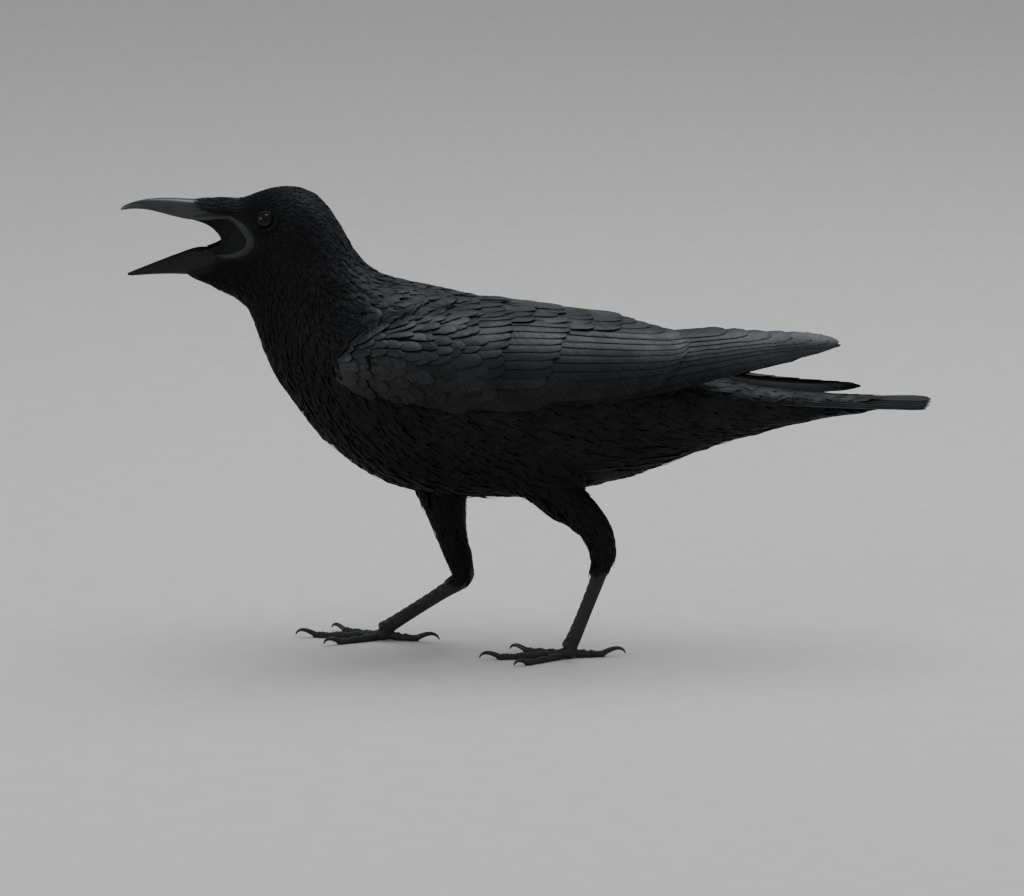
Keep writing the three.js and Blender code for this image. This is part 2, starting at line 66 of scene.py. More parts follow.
# Body sections from forehead to tail: top x, z, bottom x, z, half width.
BODY = np.array([
    [-144, 257.2, -163, 210, 10.2],
    [-136.5, 260.5, -160, 207, 14.6],
    [-126, 263.8, -151.5, 202.5, 18.4],
    [-113.5, 264.6, -142, 197, 20.8],
    [-100.5, 259, -137, 186.5, 23.5],
    [-89.5, 244.5, -133, 174, 27],
    [-79.5, 226, -127, 160, 32.5],
    [-66, 214.5, -116.5, 144, 38.5],
    [-48, 210.2, -96, 118.5, 44],
    [-30, 206.2, -63, 96.5, 47.5],
    [-13, 202.4, -31, 89.5, 49],
    [6, 198.6, 0, 88.6, 48.5],
    [30, 192, 30, 90.5, 45.5],
    [58, 182.5, 62, 97, 38],
    [84, 171.5, 92, 107, 29.5],
    [112, 159.5, 117, 117.5, 22],
    [140, 151.6, 144, 124.6, 17],
    [163, 148.4, 167, 131.2, 13],
    [188, 146.2, 194, 135.4, 8.5],
])
SQUARENESS = 2.15
NASAL_TUFT = [[-138, 258.5, 243.5, 10.2], [-148, 258, 245.5, 9.6], [-156, 257.9, 247, 8.7],
              [-162.5, 257.7, 249.5, 7.6], [-167, 257.3, 252.5, 5.6]]
CHIN = [[-150, 228, 204, 11.5], [-160, 224, 208, 10], [-168, 219, 211.6, 8],
        [-174, 217, 213.4, 5.2]]
# x, culmen or gonys, cutting edge, half width
UPPER_BILL = [[-141, 255.4, 239.5, 8.6], [-148, 256.2, 243.8, 8.3], [-156, 256.6, 245.6, 7.9],
              [-165, 257, 246.2, 7.2], [-173, 257.4, 246.9, 6.4], [-181, 257.8, 248.4, 5.5],
              [-189, 257.8, 250.4, 4.5], [-197, 257.1, 251.9, 3.3], [-204, 255.5, 252, 2.1],
              [-209, 253.5, 251.3, 1.2], [-210.8, 251.9, 251, 0.5]]
LOWER_BILL = [[-143, 213.5, 227.6, 8.4], [-153, 213.8, 227.8, 8], [-161, 214, 229, 7.5],
              [-170, 214.4, 228.6, 6.6], [-180, 214.9, 225.4, 5.2], [-190, 214.8, 221.8, 3.8],
              [-198, 214.4, 218.8, 2.6], [-205, 213.9, 216.2, 1.3], [-207.4, 214.2, 215.2, 0.6]]
TONGUE = [[-147, 229.6, 3.4, 2.4], [-156, 228.4, 3.6, 2.3], [-166, 226.4, 3, 2],
          [-175, 223.9, 2.1, 1.6], [-180, 222.4, 1, 0.9]]
EYE_AT = np.array([-130, 12.4, 247.6])
EYE_RADIUS = 6.2
EYE_SINK = 0.7
EYE_BULGE = 0.42
# Wing sections: x, top edge y, z, bottom edge y, z, bulge, thickness; y is that of the left wing.
WING_FRONT = [[-95, -39.5, 173, -41, 165, 1.2, 4], [-84, -37, 187, -45, 158, 6, 8],
              [-59, -25, 197.5, -50.5, 152, 13, 11], [-28, -16, 200.5, -52, 146.5, 16.5, 12],
              [11, -10, 197.8, -51.5, 146, 16.5, 12]]
LEFT_WING = WING_FRONT + [
    [57, -8.5, 191.2, -44.5, 148.8, 12.5, 9], [89, -7.5, 187.4, -36.5, 153, 8.5, 6.5],
    [117, -7, 185.8, -29, 159, 5.5, 5], [140, -7.5, 185, -23.5, 164.6, 3.6, 4],
    [166, -9, 184.2, -18, 170.2, 2, 3], [184, -10.8, 181.6, -15.2, 174.2, 0.8, 2],
    [189, -12, 179.6, -13.8, 176.4, 0.2, 1.2]]
RIGHT_WING = WING_FRONT + [
    [57, -8.5, 188.8, -44, 147.6, 12, 9], [89, -9, 177, -36, 148, 7.5, 6.5],
    [117, -10, 163.5, -30.5, 147.4, 4.5, 4.5], [140, -10, 157.4, -27, 145.6, 2.8, 3.4],
    [166, -9.5, 155, -24, 143.8, 2, 2.6], [192, -9.5, 153.4, -19, 144.6, 1.2, 1.8],
    [200, -9.9, 152.6, -17.4, 145.2, 0.7, 1.5], [205.5, -11.2, 150.8, -14.8, 147, 0.2, 1]]
WINGS = (("left", LEFT_WING, -1), ("right", RIGHT_WING, 1))
# x, top, half width, droop at the sides, thickness
TAIL = [[100, 146.6, 13, 4.2, 4], [140, 146.6, 18.5, 4.2, 4], [175, 145.4, 20.5, 3.2, 3.8],
        [210, 144, 21.5, 1.8, 3], [232, 143.5, 20.5, 1.1, 2.2], [238.5, 143.4, 15, 0.6, 1.7],
        [240.5, 143.3, 7, 0.2, 1.3]]
TAIL_PACK = 3.2
# Legs: x, z, half depth, half width down the feathered thigh and down the bare shank.
LEGS = {
    "left": {
        "side": -22, "toeing": -6,
        "thigh": [[14, 116, 21, 15], [29.5, 98.5, 15, 12.5], [43.5, 84.5, 10.6, 9.6],
                  [53, 74.5, 8.8, 8], [57, 64, 7.8, 6.8], [57, 54, 6, 5]],
        "shank": [[58, 66, 4.8, 4], [57.8, 57, 5, 3.8], [54.4, 45, 4.1, 2.9],
                  [48.4, 29, 3.8, 2.6], [42, 13, 4, 3.2], [38.6, 6, 4.4, 4]],
    },
    "right": {
        "side": 22, "toeing": 8,
        "thigh": [[-36, 112, 22, 15], [-32.5, 88, 15, 12.5], [-30, 73, 11, 9.6],
                  [-27, 58.5, 8.2, 7.6], [-22.6, 46, 7.2, 6.2], [-21, 38, 5.8, 4.8]],
        "shank": [[-19.4, 42, 4.8, 4], [-21, 35.4, 5, 3.8], [-32, 28, 4.1, 2.9],
                  [-46.5, 18.6, 3.8, 2.6], [-61, 9.2, 4, 3.2], [-66, 6, 4.4, 4]],
    },
}
# Toe: angle from straight ahead, length, claw length, radius.
TOES = {"inner": (-33, 29, 10.5, 2.5), "middle": (0, 41, 12, 2.6),
        "outer": (31, 31, 10, 2.4), "hind": (183, 21, 14, 2.7)}
SOLE_CUT = 0.45

# The coat by body section: for the back, the side and the belly in turn, the feathers' length and
# width, the depth of the coat over the skin, how blunt the tips are and how glossy the vanes are.
# The gloss also pales the vanes' colour in the feather material. This is a painted sheen, strongest on the
# back and wings.
COAT_KEYS = [
    (0, (2.6, 2.0, 5.0), (0.8, 0.7, 1.1), (0.7, 0.6, 0.9), (0.2, 0.2, 0.1), (0.25, 0.10, 0.05)),
    (2, (4.2, 3.0, 9.0), (1.2, 0.95, 1.9), (1.1, 0.9, 1.6), (0.3, 0.2, 0.1), (0.32, 0.12, 0.05)),
    (4, (8.0, 7.0, 13.), (2.2, 2.0, 2.6), (1.6, 1.5, 2.5), (0.4, 0.3, 0.05), (0.32, 0.15, 0.1)),
    (6, (14., 12., 17.), (4.6, 4.0, 3.8), (2.4, 2.4, 3.2), (0.7, 0.4, 0.15), (0.45, 0.2, 0.1)),
    (8, (20., 17., 20.), (8.6, 6.2, 5.6), (2.5, 2.6, 3.6), (1.0, 0.6, 0.3), (0.75, 0.3, 0.08)),
    (11, (26., 20., 23.), (12., 7.5, 6.5), (2.4, 2.6, 3.6), (1.0, 0.6, 0.3), (0.9, 0.3, 0.06)),
    (14, (26., 22., 25.), (9.5, 7.5, 6.6), (2.0, 2.4, 3.0), (1.0, 0.6, 0.3), (0.9, 0.35, 0.08)),
    (16, (28., 25., 28.), (7.6, 6.6, 6.4), (1.5, 1.7, 2.2), (0.9, 0.6, 0.4), (0.8, 0.4, 0.12)),
    (18, (30., 27., 27.), (6.8, 6.0, 6.0), (1.1, 1.1, 1.3), (0.9, 0.6, 0.4), (0.8, 0.4, 0.15)),
]


def spline(rows, at):
    """The Catmull-Rom curve through rows of numbers, read at places counted in rows."""
    rows = np.asarray(rows, float)
    last = len(rows) - 1
    at = np.clip(np.asarray(at, float), 0, last)
    i = np.minimum(at.astype(int), last - 1)
    w = (at - i)[..., None]
    before, a, b, after = rows[np.maximum(i - 1, 0)], rows[i], rows[i + 1], rows[np.minimum(i + 2, last)]
    va, vb = (b - before) / 2, (after - a) / 2
    return (2 * a - 2 * b + va + vb) * w**3 + (3 * b - 3 * a - 2 * va - vb) * w**2 + va * w + a


def steps(rows, count):
    return spline(rows, np.linspace(0, len(rows) - 1, count + 1))


def eye_shift():
    """The drawing frame's place of the CAD frame's origin, found from the left eye."""
    low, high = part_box("eye_left")
    middle = (np.array(low) + np.array(high)) / 2
    return EYE_AT * [1, -1, 1] - middle / MM


SHIFT = eye_shift()


def placed(points):
    """Points of the drawing frame, in millimetres, as metres in the CAD frame."""
    return (np.asarray(points, float) - SHIFT) * MM


def drawn(points):
    """Points of the CAD frame, in metres, as millimetres in the drawing frame."""
    return np.asarray(points, float) / MM + SHIFT


def unit(vectors):
    return vectors / np.maximum(np.linalg.norm(vectors, axis=-1, keepdims=True), 1e-12)


def circle(count):
    """Angles once round."""
    return np.linspace(0, 2 * np.pi, count, endpoint=False)


def ovals(centre, turn, first, reach, second, breadth):
    """Rings about centres, reaching so far along the first direction and the second."""
    return (
        centre[:, None]
        + first[:, None] * (np.cos(turn)[:, None] * reach[:, None, None])
        + second[..., None, :] * (np.sin(turn)[:, None] * breadth[:, None, None])
    )


# ------------------------------------------------------------------ meshes

def mesh_object(name, points, faces, crease=None):
    """An object from points in metres and face arrays of three or four corners each."""
    mesh = bpy.data.meshes.new(name)
    faces = [np.asarray(f, dtype=np.int32) for f in faces if len(f)]
    mesh.vertices.add(len(points))
    mesh.vertices.foreach_set("co", np.asarray(points, np.float32).ravel())
    corners = np.concatenate([f.ravel() for f in faces])
    sizes = np.concatenate([np.full(len(f), f.shape[1], dtype=np.int32) for f in faces])
    mesh.loops.add(len(corners))
    mesh.loops.foreach_set("vertex_index", corners)
    mesh.polygons.add(len(sizes))
    mesh.polygons.foreach_set("loop_start", np.concatenate([[0], np.cumsum(sizes)[:-1]]).astype(np.int32))
    mesh.update(calc_edges=True)
    mesh.validate()
    mesh.shade_smooth()
    if crease is not None:
        mesh.set_sharp_from_angle(angle=math.radians(crease))
    piece = bpy.data.objects.new(name, mesh)
    bpy.context.scene.collection.objects.link(piece)
    return piece


def loft_faces(rings, around, capped=True):
    """Face arrays of a tube of rings, with fans to one end point each, which follow the rings."""
    i, j = np.meshgrid(np.arange(rings - 1), np.arange(around), indexing="ij")
    k = (j + 1) % around
    quads = np.stack([i * around + j, i * around + k, (i + 1) * around + k, (i + 1) * around + j], -1)
    quads = quads.reshape(-1, 4)
    if not capped:
        return [quads]
    j = np.arange(around)
    k = (j + 1) % around
    start, end, last = rings * around, rings * around + 1, (rings - 1) * around
    fans = np.concatenate([
        np.stack([np.full(around, start), k, j], -1),
        np.stack([np.full(around, end), last + j, last + k], -1),
    ])
    return [quads, fans]


def outward(points, faces):
    """The faces, turned over if they enclose a negative volume."""
    volume = 0.0
    for f in faces:
        a, b = points[f[:, 0]], points[f[:, 1]]
        for corner in range(2, f.shape[1]):
            c = points[f[:, corner]]
            volume += np.einsum("ij,ij->i", a, np.cross(b, c)).sum()
            b = c
    return [f[:, ::-1] for f in faces] if volume < 0 else faces


def loft(rings):
    """Points in millimetres and faces of a closed tube through an array of rings."""
    rings = np.asarray(rings, float)
    count, around = rings.shape[:2]
    points = np.concatenate([rings.reshape(-1, 3), rings[:1].mean(axis=1), rings[-1:].mean(axis=1)])
    return points, outward(points, loft_faces(count, around))


def joined(solids):
    """Several (points, faces) as one."""
    all_points, all_faces, start = [], [], 0
    for points, faces in solids:
        all_points.append(points)
        all_faces += [f + start for f in faces]
        start += len(points)
    return np.concatenate(all_points), all_faces


def read_rows(items, key):
    """Rows of three numbers from a mesh's vertices or normals."""
    values = np.empty(len(items) * 3, np.float32)
    items.foreach_get(key, values)
    return values.reshape(-1, 3).astype(float)


def mesh_points(mesh):
    return read_rows(mesh.vertices, "co")


def mesh_normals(mesh):
    return read_rows(mesh.vertex_normals, "vector")


def add_uv(mesh, name, pairs):
    """A UV layer from one pair of numbers for each vertex."""
    corners = np.empty(len(mesh.loops), np.int32)
    mesh.loops.foreach_get("vertex_index", corners)
    layer = mesh.uv_layers.new(name=name)
    layer.data.foreach_set("uv", pairs[corners].astype(np.float32).ravel())


def evaluated(piece):
    """The piece with its modifiers turned into plain mesh."""
    graph = bpy.context.evaluated_depsgraph_get()
    graph.update()
    mesh = bpy.data.meshes.new_from_object(
        piece.evaluated_get(graph), preserve_all_data_layers=True, depsgraph=graph
    )
    mesh.name = piece.name
    piece.modifiers.clear()
    piece.data = mesh
    return piece


def remeshed(name, points, faces, voxel, smoothing):
    """One even closed mesh round joined solids given in metres."""
    piece = mesh_object(name, points, faces)
    remesh = piece.modifiers.new("Fuse", "REMESH")
    remesh.mode = "VOXEL"
    remesh.voxel_size = voxel
    remesh.use_smooth_shade = True
    soften = piece.modifiers.new("Soften", "SMOOTH")
    soften.factor = 0.5
    soften.iterations = smoothing
    return evaluated(piece)


def finish(piece, material, slot, *nodes):
    if material is not None:
        piece.data.materials.clear()
        piece.data.materials.append(material)
    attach(piece, "root")
    if nodes:
        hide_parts(*nodes)
    return piece


def solid_piece(name, solid, material, slot, *nodes, crease=None):
    """A finished piece from points in drawn millimetres and faces."""
    points, faces = solid
    return finish(mesh_object(name, placed(points), faces, crease), material, slot, *nodes)


# ------------------------------------------------------------------ surfaces of the bird

def body_at(u, turn):
    """Points of the body's outline at station u and angle turn from the top, towards +y."""
    tx, tz, bx, bz, half = np.moveaxis(spline(BODY, u), -1, 0)
    c, s = np.cos(turn), np.sin(turn)
    power = 2 / SQUARENESS
    c, s = np.sign(c) * np.abs(c) ** power, np.sign(s) * np.abs(s) ** power
    x = (tx + bx) / 2 + (tx - bx) / 2 * c
    z = (tz + bz) / 2 + (tz - bz) / 2 * c
    return np.stack([x, half * s, z], -1)


class Wing:
    """The outer face of a folded wing: x along the bird, v from the top edge to the bottom edge."""

    def __init__(self, stations, side):
        rows = steps(stations, 300)
        self.side = side
        self.x, self.rows = rows[:, 0], rows[:, 1:]

    def columns(self, x):
        return [np.interp(x, self.x, self.rows[:, i]) for i in range(6)]

    def width(self, x):
        ty, tz, by, bz, bulge, _ = self.columns(x)
        return np.hypot(by - ty, bz - tz) + bulge * 0.8

    def face(self, x, v):
        ty, tz, by, bz, bulge, _ = self.columns(x)
        chord = np.hypot(by - ty, bz - tz)
        oy, oz = (bz - tz) / chord, -(by - ty) / chord
        over = np.where(v < 0, 4 * v, np.where(v > 1, 4 * (1 - v), 4 * v * (1 - v)))
        y = ty + (by - ty) * v + oy * bulge * over
        z = tz + (bz - tz) * v + oz * bulge * over
        return np.stack([x, -self.side * y, z], -1)

    def at(self, x, v, height):
        """Points at a height over the face, and the face's normals there."""
        x, v = np.broadcast_arrays(np.asarray(x, float), np.asarray(v, float))
        along = self.face(x + 0.5, v) - self.face(x - 0.5, v)
        down = self.face(x, v + 0.01) - self.face(x, v - 0.01)
        normal = unit(np.cross(along, down)) * self.side
        normal = np.where(normal[..., 1:2] * self.side < 0, -normal, normal)
        return self.face(x, v) + normal * np.asarray(height)[..., None], normal


def tail_at(x, y, height):
    rows = steps(TAIL, 200)
    top, half, droop = (np.interp(x, rows[:, 0], rows[:, i]) for i in (1, 2, 3))
    z = top - droop * (y / half) ** 2
    slope = -2 * droop * y / half**2
    normal = unit(np.stack([np.zeros_like(slope), -slope, np.ones_like(slope)], -1))
    return np.stack([x, y, z], -1) + normal * np.asarray(height)[..., None], normal


def tail_rings(first, last, count, across):
    """Points along, across, over (0) and under (1) the pack of closed tail feathers."""
    x, share = np.meshgrid(np.linspace(first, last, count), np.linspace(-0.86, 0.86, across), indexing="ij")
    half = np.interp(x, *np.array(TAIL)[:, [0, 2]].T)
    return np.stack([tail_at(x, share * half, np.full_like(x, height))[0] for height in (0.2, -TAIL_PACK)], 2)


def tail_root():
    """Rings that taper from inside the rear of the body into the pack of tail feathers."""
    turn = circle(32)
    body = body_at(np.full_like(turn, len(BODY) - 1.35), turn)
    body = body.mean(axis=0) + (body - body.mean(axis=0)) * [1.0, 0.84, 0.80]
    pack = np.stack([np.full_like(turn, 216.0), 11 * np.sin(turn), 142.2 + 2.0 * np.cos(turn)], -1)
    return body + (pack - body) * np.linspace(0, 1, 12)[:, None, None]


def limb_rings(rows, side, count, around, grow=0.0):
    """Oval rings down a leg given by x, z, half depth and half width."""
    path = steps(rows, count)
    centre = np.stack([path[:, 0], np.full(len(path), float(side)), path[:, 1]], -1)
    across = np.array([0.0, 1.0, 0.0])
    depth = np.cross(across, unit(np.gradient(centre, axis=0)))
    return ovals(centre, circle(around), depth, path[:, 2] + grow, across, path[:, 3] + grow)


def straight_rings(rows, count, around):
    """Oval rings across the middle plane given by x, top, bottom and half width."""
    path = steps(rows, count)
    turn = circle(around)
    x = np.repeat(path[:, 0:1], around, 1)
    z = (path[:, 1:2] + path[:, 2:3]) / 2 + np.cos(turn) * (path[:, 1:2] - path[:, 2:3]) / 2
    return np.stack([x, np.sin(turn) * path[:, 3:4], z], -1)


# ------------------------------------------------------------------ the lie of the coat

# Roots are left out where the skin faces along the coat more than this, as on a cut end, and where
# it tapers into the tail more than the second number. None stand behind the last place.
END_CAP = 0.55
TAPER_CAP = 0.32
TAPER_FROM = 160
LAST_ROOT = 187
# Feathers are left out when the cosine between them and the lie at their root is less than this,
# with a stricter limit at the rear.
STRAY = 0.45
REAR_STRAY = 0.82
REAR_FROM = 150
# Feathers are crowded before they are thinned to their spacing, so that no gap is left.
CROWD = 2.6
# How far from an eye's middle the coat is turned and shortened, and how far out the head's side is.
EYE_REACH = 11
HEAD_SIDE = 6
# The coat's own unwrap: the side of a vane's patch, and where the patches' corners start and span.
COAT_PATCH = 0.003
PATCH_START = 0.004
PATCH_SPAN = 0.988
# The depth of the skin below the outline where it is bare and behind an eyelid, and the lid's reach.
BARE_DEPTH = 0.9
LID_DEPTH = 2.2
LID_REACH = 5.4
# A body vane's thickness in the middle, and how much of the coat's depth its tip stands over.
COAT_THICKNESS = 0.14
TIP_LIFT = 0.92

BODY_KIND, THIGH_KIND, NASAL_KIND, CHIN_KIND, WING_KIND = range(5)


class Lie:
    """Which way the coat lies, and what kind of place each point of the skin is."""

    def __init__(self):
        places, flows, kinds, params = [], [], [], []

        def add(grid, flow, kind, first, second):
            places.append(grid.reshape(-1, 3))
            flows.append(unit(flow).reshape(-1, 3))
            kinds.append(np.full(grid.size // 3, kind))
            shape = grid.shape[:-1]
            pair = [np.broadcast_to(value, shape) for value in (first, second)]
            params.append(np.stack(pair, -1).reshape(-1, 2))

        u = np.linspace(0, len(BODY) - 1, 181)[:, None]
        turn = circle(56)[None, :]
        grid = body_at(u, turn)
        add(grid, np.gradient(grid, axis=0), BODY_KIND, u, turn)
        for label, leg in LEGS.items():
            rings = limb_rings(leg["thigh"], leg["side"], 40, 20)
            flow = np.gradient(rings, axis=0) + [0.15, 0, 0]
            place = np.linspace(0, 1, 41)[:, None]
            about = np.linspace(0, 1, 20, endpoint=False)[None, :]
            add(rings, flow, THIGH_KIND, place, about + (label == "right") * 2)
            rings = limb_rings(leg["shank"][:3], leg["side"], 16, 20)[4:]
            place = np.linspace(1.1, 1.6, 13)[:, None]
            add(rings, np.gradient(rings, axis=0), THIGH_KIND, place, about + (label == "right") * 2)
        for face, turned in zip(np.moveaxis(tail_rings(198, 222, 8, 9), 2, 0), (0.0, np.pi)):
            add(face, np.broadcast_to([1.0, 0.0, -0.03], face.shape), BODY_KIND, len(BODY) - 1.0, turned)
        rings = straight_rings(NASAL_TUFT, 16, 20)
        add(rings[4:], np.broadcast_to([-1.0, 0, -0.04], rings[4:].shape), NASAL_KIND, 0, 0)
        rings = straight_rings(CHIN, 16, 20)
        add(rings[2:], np.broadcast_to([1.0, 0, -0.2], rings[2:].shape), CHIN_KIND, 0, 0)
        x, v = np.meshgrid(np.linspace(-94, 74, 60), np.linspace(0, 1, 16), indexing="ij")
        for _, stations, side in WINGS:
            grid, _ = Wing(stations, side).at(x, v, np.zeros_like(x))
            add(grid, np.gradient(grid, axis=0), WING_KIND, x, v)
        self.places = np.concatenate(places)
        self.flows, self.kinds = np.concatenate(flows), np.concatenate(kinds)
        self.params = np.concatenate(params)
        self.tree = kdtree.KDTree(len(self.places))
        for i, place in enumerate(self.places):
            self.tree.insert(place, i)
        self.tree.balance()

    def nearest(self, points):
        return np.array([self.tree.find(p)[1] for p in points])


def coat_values(lie, index):
    """Length, width, depth, bluntness and gloss of the coat at guide points, one row each."""
    keys = np.array([[u, *sum((list(k) for k in rest), [])] for u, *rest in COAT_KEYS], float)
    u, turn = lie.params[index, 0], lie.params[index, 1]
    table = np.stack([np.interp(u, keys[:, 0], keys[:, i]) for i in range(1, 16)], -1).reshape(-1, 5, 3)
    top = np.clip(np.cos(turn), 0, 1) ** 1.3
    belly = np.clip(-np.cos(turn), 0, 1) ** 1.1
    mix = np.stack([top, 1 - top - belly, belly], -1)
    values = np.einsum("nkc,nc->nk", table, mix)
    kind = lie.kinds[index]
    thigh = kind == THIGH_KIND
    t = np.minimum(u[thigh], 1)
    values[thigh] = np.stack([18 - 7 * t, 5.6 - 3.2 * t, 2.6 - 1.7 * t, 0.25 + 0 * t, 0.2 + 0 * t], -1)
    values[kind == NASAL_KIND] = [8.5, 0.9, 0.8, 0.0, 0.15]
    values[kind == CHIN_KIND] = [5.0, 1.0, 0.8, 0.0, 0.1]
    values[kind == WING_KIND] = [14, 7, 2.6, 0.9, 0.8]
    return values


def bare(points):
    """Where the bill, the mouth and the eyes leave no room for feathers, at drawn points."""
    x, y, z = points.T
    upper = np.interp(-x, [144, 148, 152, 158, 163, 167], [245.5, 248.6, 250.4, 251.0, 251.6, 252.8])
    lower = np.interp(-x, [144, 150, 156, 162, 168, 174], [228, 225, 223.5, 218.5, 215.8, 213.6])
    front = (x < -144) & (z < upper) & (z > lower)
    front |= ((x < -167.5) & (z > 225)) | (x < -174.5)
    corner = (x < -135.4) & (np.abs(z - 236.6) < 11.6 * np.clip((-x - 134.4) / 10, 0, 1) ** 0.7)
    eye = np.hypot(x - EYE_AT[0], z - EYE_AT[2]) < 5.7
    return front | corner | (eye & (np.abs(y) > 8))


# ------------------------------------------------------------------ vanes

def vane_profile(t, blunt):
    """Half width along a feather, from 0 to 1, for pointed and for blunt tips."""
    rise = 0.45 + 0.55 * np.sin(np.clip(t / 0.5, 0, 1) * np.pi / 2)
    pointed = np.clip(1 - np.clip((t - 0.4) / 0.6, 0, 1) ** 1.5, 0, 1)
    round_off = np.sqrt(np.clip(1 - np.clip((t - 0.62) / 0.38, 0, 1) ** 2.4, 0, 1))
    return rise * (pointed * (1 - blunt) + round_off * blunt)


def vane_faces(rows, cols):
    """Faces of one closed vane: a top sheet of rows by cols and an inner bottom sheet."""
    inner = cols - 2

    def top(r, c):
        return r * cols + c

    def low(r, c):
        edge = (c == 0) | (c == cols - 1)
        return np.where(edge, top(r, c), rows * cols + r * inner + c - 1)

    r, c = np.meshgrid(np.arange(rows - 1), np.arange(cols - 1), indexing="ij")
    r, c = r.ravel(), c.ravel()
    upper = np.stack([top(r, c), top(r + 1, c), top(r + 1, c + 1), top(r, c + 1)], -1)
    under = np.stack([low(r, c), low(r, c + 1), low(r + 1, c + 1), low(r + 1, c)], -1)
    caps = []
    for row, turn in ((0, 1), (rows - 1, -1)):
        for c in range(cols - 1):
            loop = [int(top(row, c)), int(top(row, c + 1)), int(low(row, c + 1)), int(low(row, c))]
            loop = [p for i, p in enumerate(loop) if p not in loop[:i]]
            caps.append(loop[::turn])
    tris = np.array([c for c in caps if len(c) == 3], dtype=np.int32).reshape(-1, 3)
    quads = np.array([c for c in caps if len(c) == 4], dtype=np.int32).reshape(-1, 4)
    return np.concatenate([upper, under, quads]), tris


def vane_piece(name, batches, patch):
    """One mesh of closed vanes. Each batch holds, for n vanes of rows by cols points, the top
    points and normals in mm, the thickness, the place across and along in mm, the tone of each
    vane, its gloss and the corner of its patch on the coat's own unwrap."""
    points, quads, tris, shape_uv, bake_uv, marks = [], [], [], [], [], []
    start = 0
    for b in batches:
        n, rows, cols, _ = b["top"].shape
        across = np.linspace(-1, 1, cols)
        thick = b["thick"] * (1 - across**2)[None, None, :] + 0.02
        low = (b["top"] - b["normal"] * thick[..., None])[:, :, 1:-1]
        per = rows * cols + rows * (cols - 2)
        points.append(np.concatenate([b["top"].reshape(n, -1, 3), low.reshape(n, -1, 3)], 1).reshape(-1, 3))
        q, t = vane_faces(rows, cols)
        offset = (start + np.arange(n) * per)[:, None, None]
        quads.append((q[None] + offset).reshape(-1, 4))
        tris.append((t[None] + offset).reshape(-1, 3))
        start += n * per

        def both(values):
            under = values[:, :, 1:-1]
            flat = [v.reshape(n, -1, v.shape[-1]) for v in (values, under)]
            return np.concatenate(flat, 1).reshape(-1, values.shape[-1])

        along = np.linspace(0, 1, rows)[None, :, None] + np.zeros((n, rows, cols))
        side = across[None, None, :] + np.zeros((n, rows, cols))
        shape_uv.append(both(np.stack([b["x"], b["y"] + b["tone"][:, None, None] * 97], -1)))
        corner = b["corner"][:, None, None, :]
        local = np.stack([(side + 1) / 2, along], -1) * patch
        bake_uv.append(both(corner + local))
        tone = np.broadcast_to(b["tone"][:, None, None], side.shape)
        gloss = np.broadcast_to(b["gloss"][:, None, None], side.shape)
        marks.append(both(np.stack([side * 0.5 + 0.5, along, tone, gloss], -1)))
    points = placed(np.concatenate(points))
    quads, tris = np.concatenate(quads), np.concatenate(tris)
    piece = mesh_object(name, points, [quads, tris], crease=50)
    add_uv(piece.data, "OFBake", np.concatenate(bake_uv))
    add_uv(piece.data, "Vane", np.concatenate(shape_uv))
    marked = piece.data.attributes.new("vane", "FLOAT_COLOR", "POINT")
    marked.data.foreach_set("color", np.concatenate(marks).astype(np.float32).ravel())
    return piece


# ------------------------------------------------------------------ settings

def length_of(name, description, default):
    return FloatProperty(name=name, description=description, default=default, unit="LENGTH")


def count_of(name, description, default):
    return IntProperty(name=name, description=description, default=default)


def colour_of(name, description, default):
    return FloatVectorProperty(name=name, description=description, default=default, subtype="COLOR")


class CrowCoatSettings(bpy.types.PropertyGroup):
    voxel: length_of("Skin detail", "Size of the skin's even facets", 0.0015)
    spacing: FloatProperty(
        name="Spacing", description="Distance between feather roots, in feather widths",
        default=0.40, subtype="FACTOR")
    closest: length_of("Closest roots", "Least distance between roots, on the face", 0.00092)
    unruly: FloatProperty(
        name="Unruliness", description="How far feathers turn from the lie of the coat",
        default=0.08, subtype="ANGLE")


class CrowWingSettings(bpy.types.PropertyGroup):
    primaries: count_of("Primaries", "Long feathers of the wing tip", 10)
    secondaries: count_of("Secondaries", "Long feathers of the forearm", 9)
    tertials: count_of("Tertials", "Inner wing feathers", 4)
    rectrices: count_of("Tail feathers", "Tail feathers on each side", 6)
    thickness: length_of("Vane thickness", "Thickness of a long feather", 0.0003)


class CrowHeadSettings(bpy.types.PropertyGroup):
    iris: length_of("Iris radius", "Radius of the iris", 0.0043)
    pupil: length_of("Pupil radius", "Radius of the pupil", 0.0022)
    lid: length_of("Lid width", "Width of the bare eyelid", 0.0011)
    bristles: count_of("Bristles", "Nasal bristles on each side", 150)
    bristle_thickness: length_of("Bristle thickness", "Thickness of a bristle at its root", 0.00032)


class CrowLegSettings(bpy.types.PropertyGroup):
    voxel: length_of("Leg detail", "Size of the leg skin's even facets", 0.0005)
    scutes: count_of("Shank scutes", "Plates down the front of a shank", 12)


class CrowColours(bpy.types.PropertyGroup):
    plumage: colour_of("Plumage", "Body feathers", (0.0030, 0.0030, 0.0034))
    # The pale colour of worn rims and paler barbs. It is laid on more strongly where the coat is glossy, on
    # the back and wings, which is partly a painted sheen.
    plumage_wear_and_sheen: colour_of("Plumage, worn", "Worn feather edges", (0.0125, 0.0122, 0.0130))
    # Painted sheen: a pale grey-blue laid into the colour of the long wing feathers' rear, upper tips. It
    # stands partly for their wear and partly for a painted sheen of the light above.
    plumage_tip_wear_and_sheen: colour_of(
        "Plumage, sheen", "Grey sheen of the long wing feathers' tips", (0.026, 0.0275, 0.031))
    horn: colour_of("Horn", "Bill and claws", (0.0062, 0.006, 0.0062))
    leg: colour_of("Leg skin", "Bare legs", (0.0072, 0.0070, 0.0070))
    iris: colour_of("Iris", "Iris", (0.0065, 0.0035, 0.0022))
    mouth: colour_of("Mouth", "Mouth lining", (0.050, 0.022, 0.024))
    gape: colour_of("Gape", "Bare rim at the corner of the mouth", (0.017, 0.0165, 0.0165))


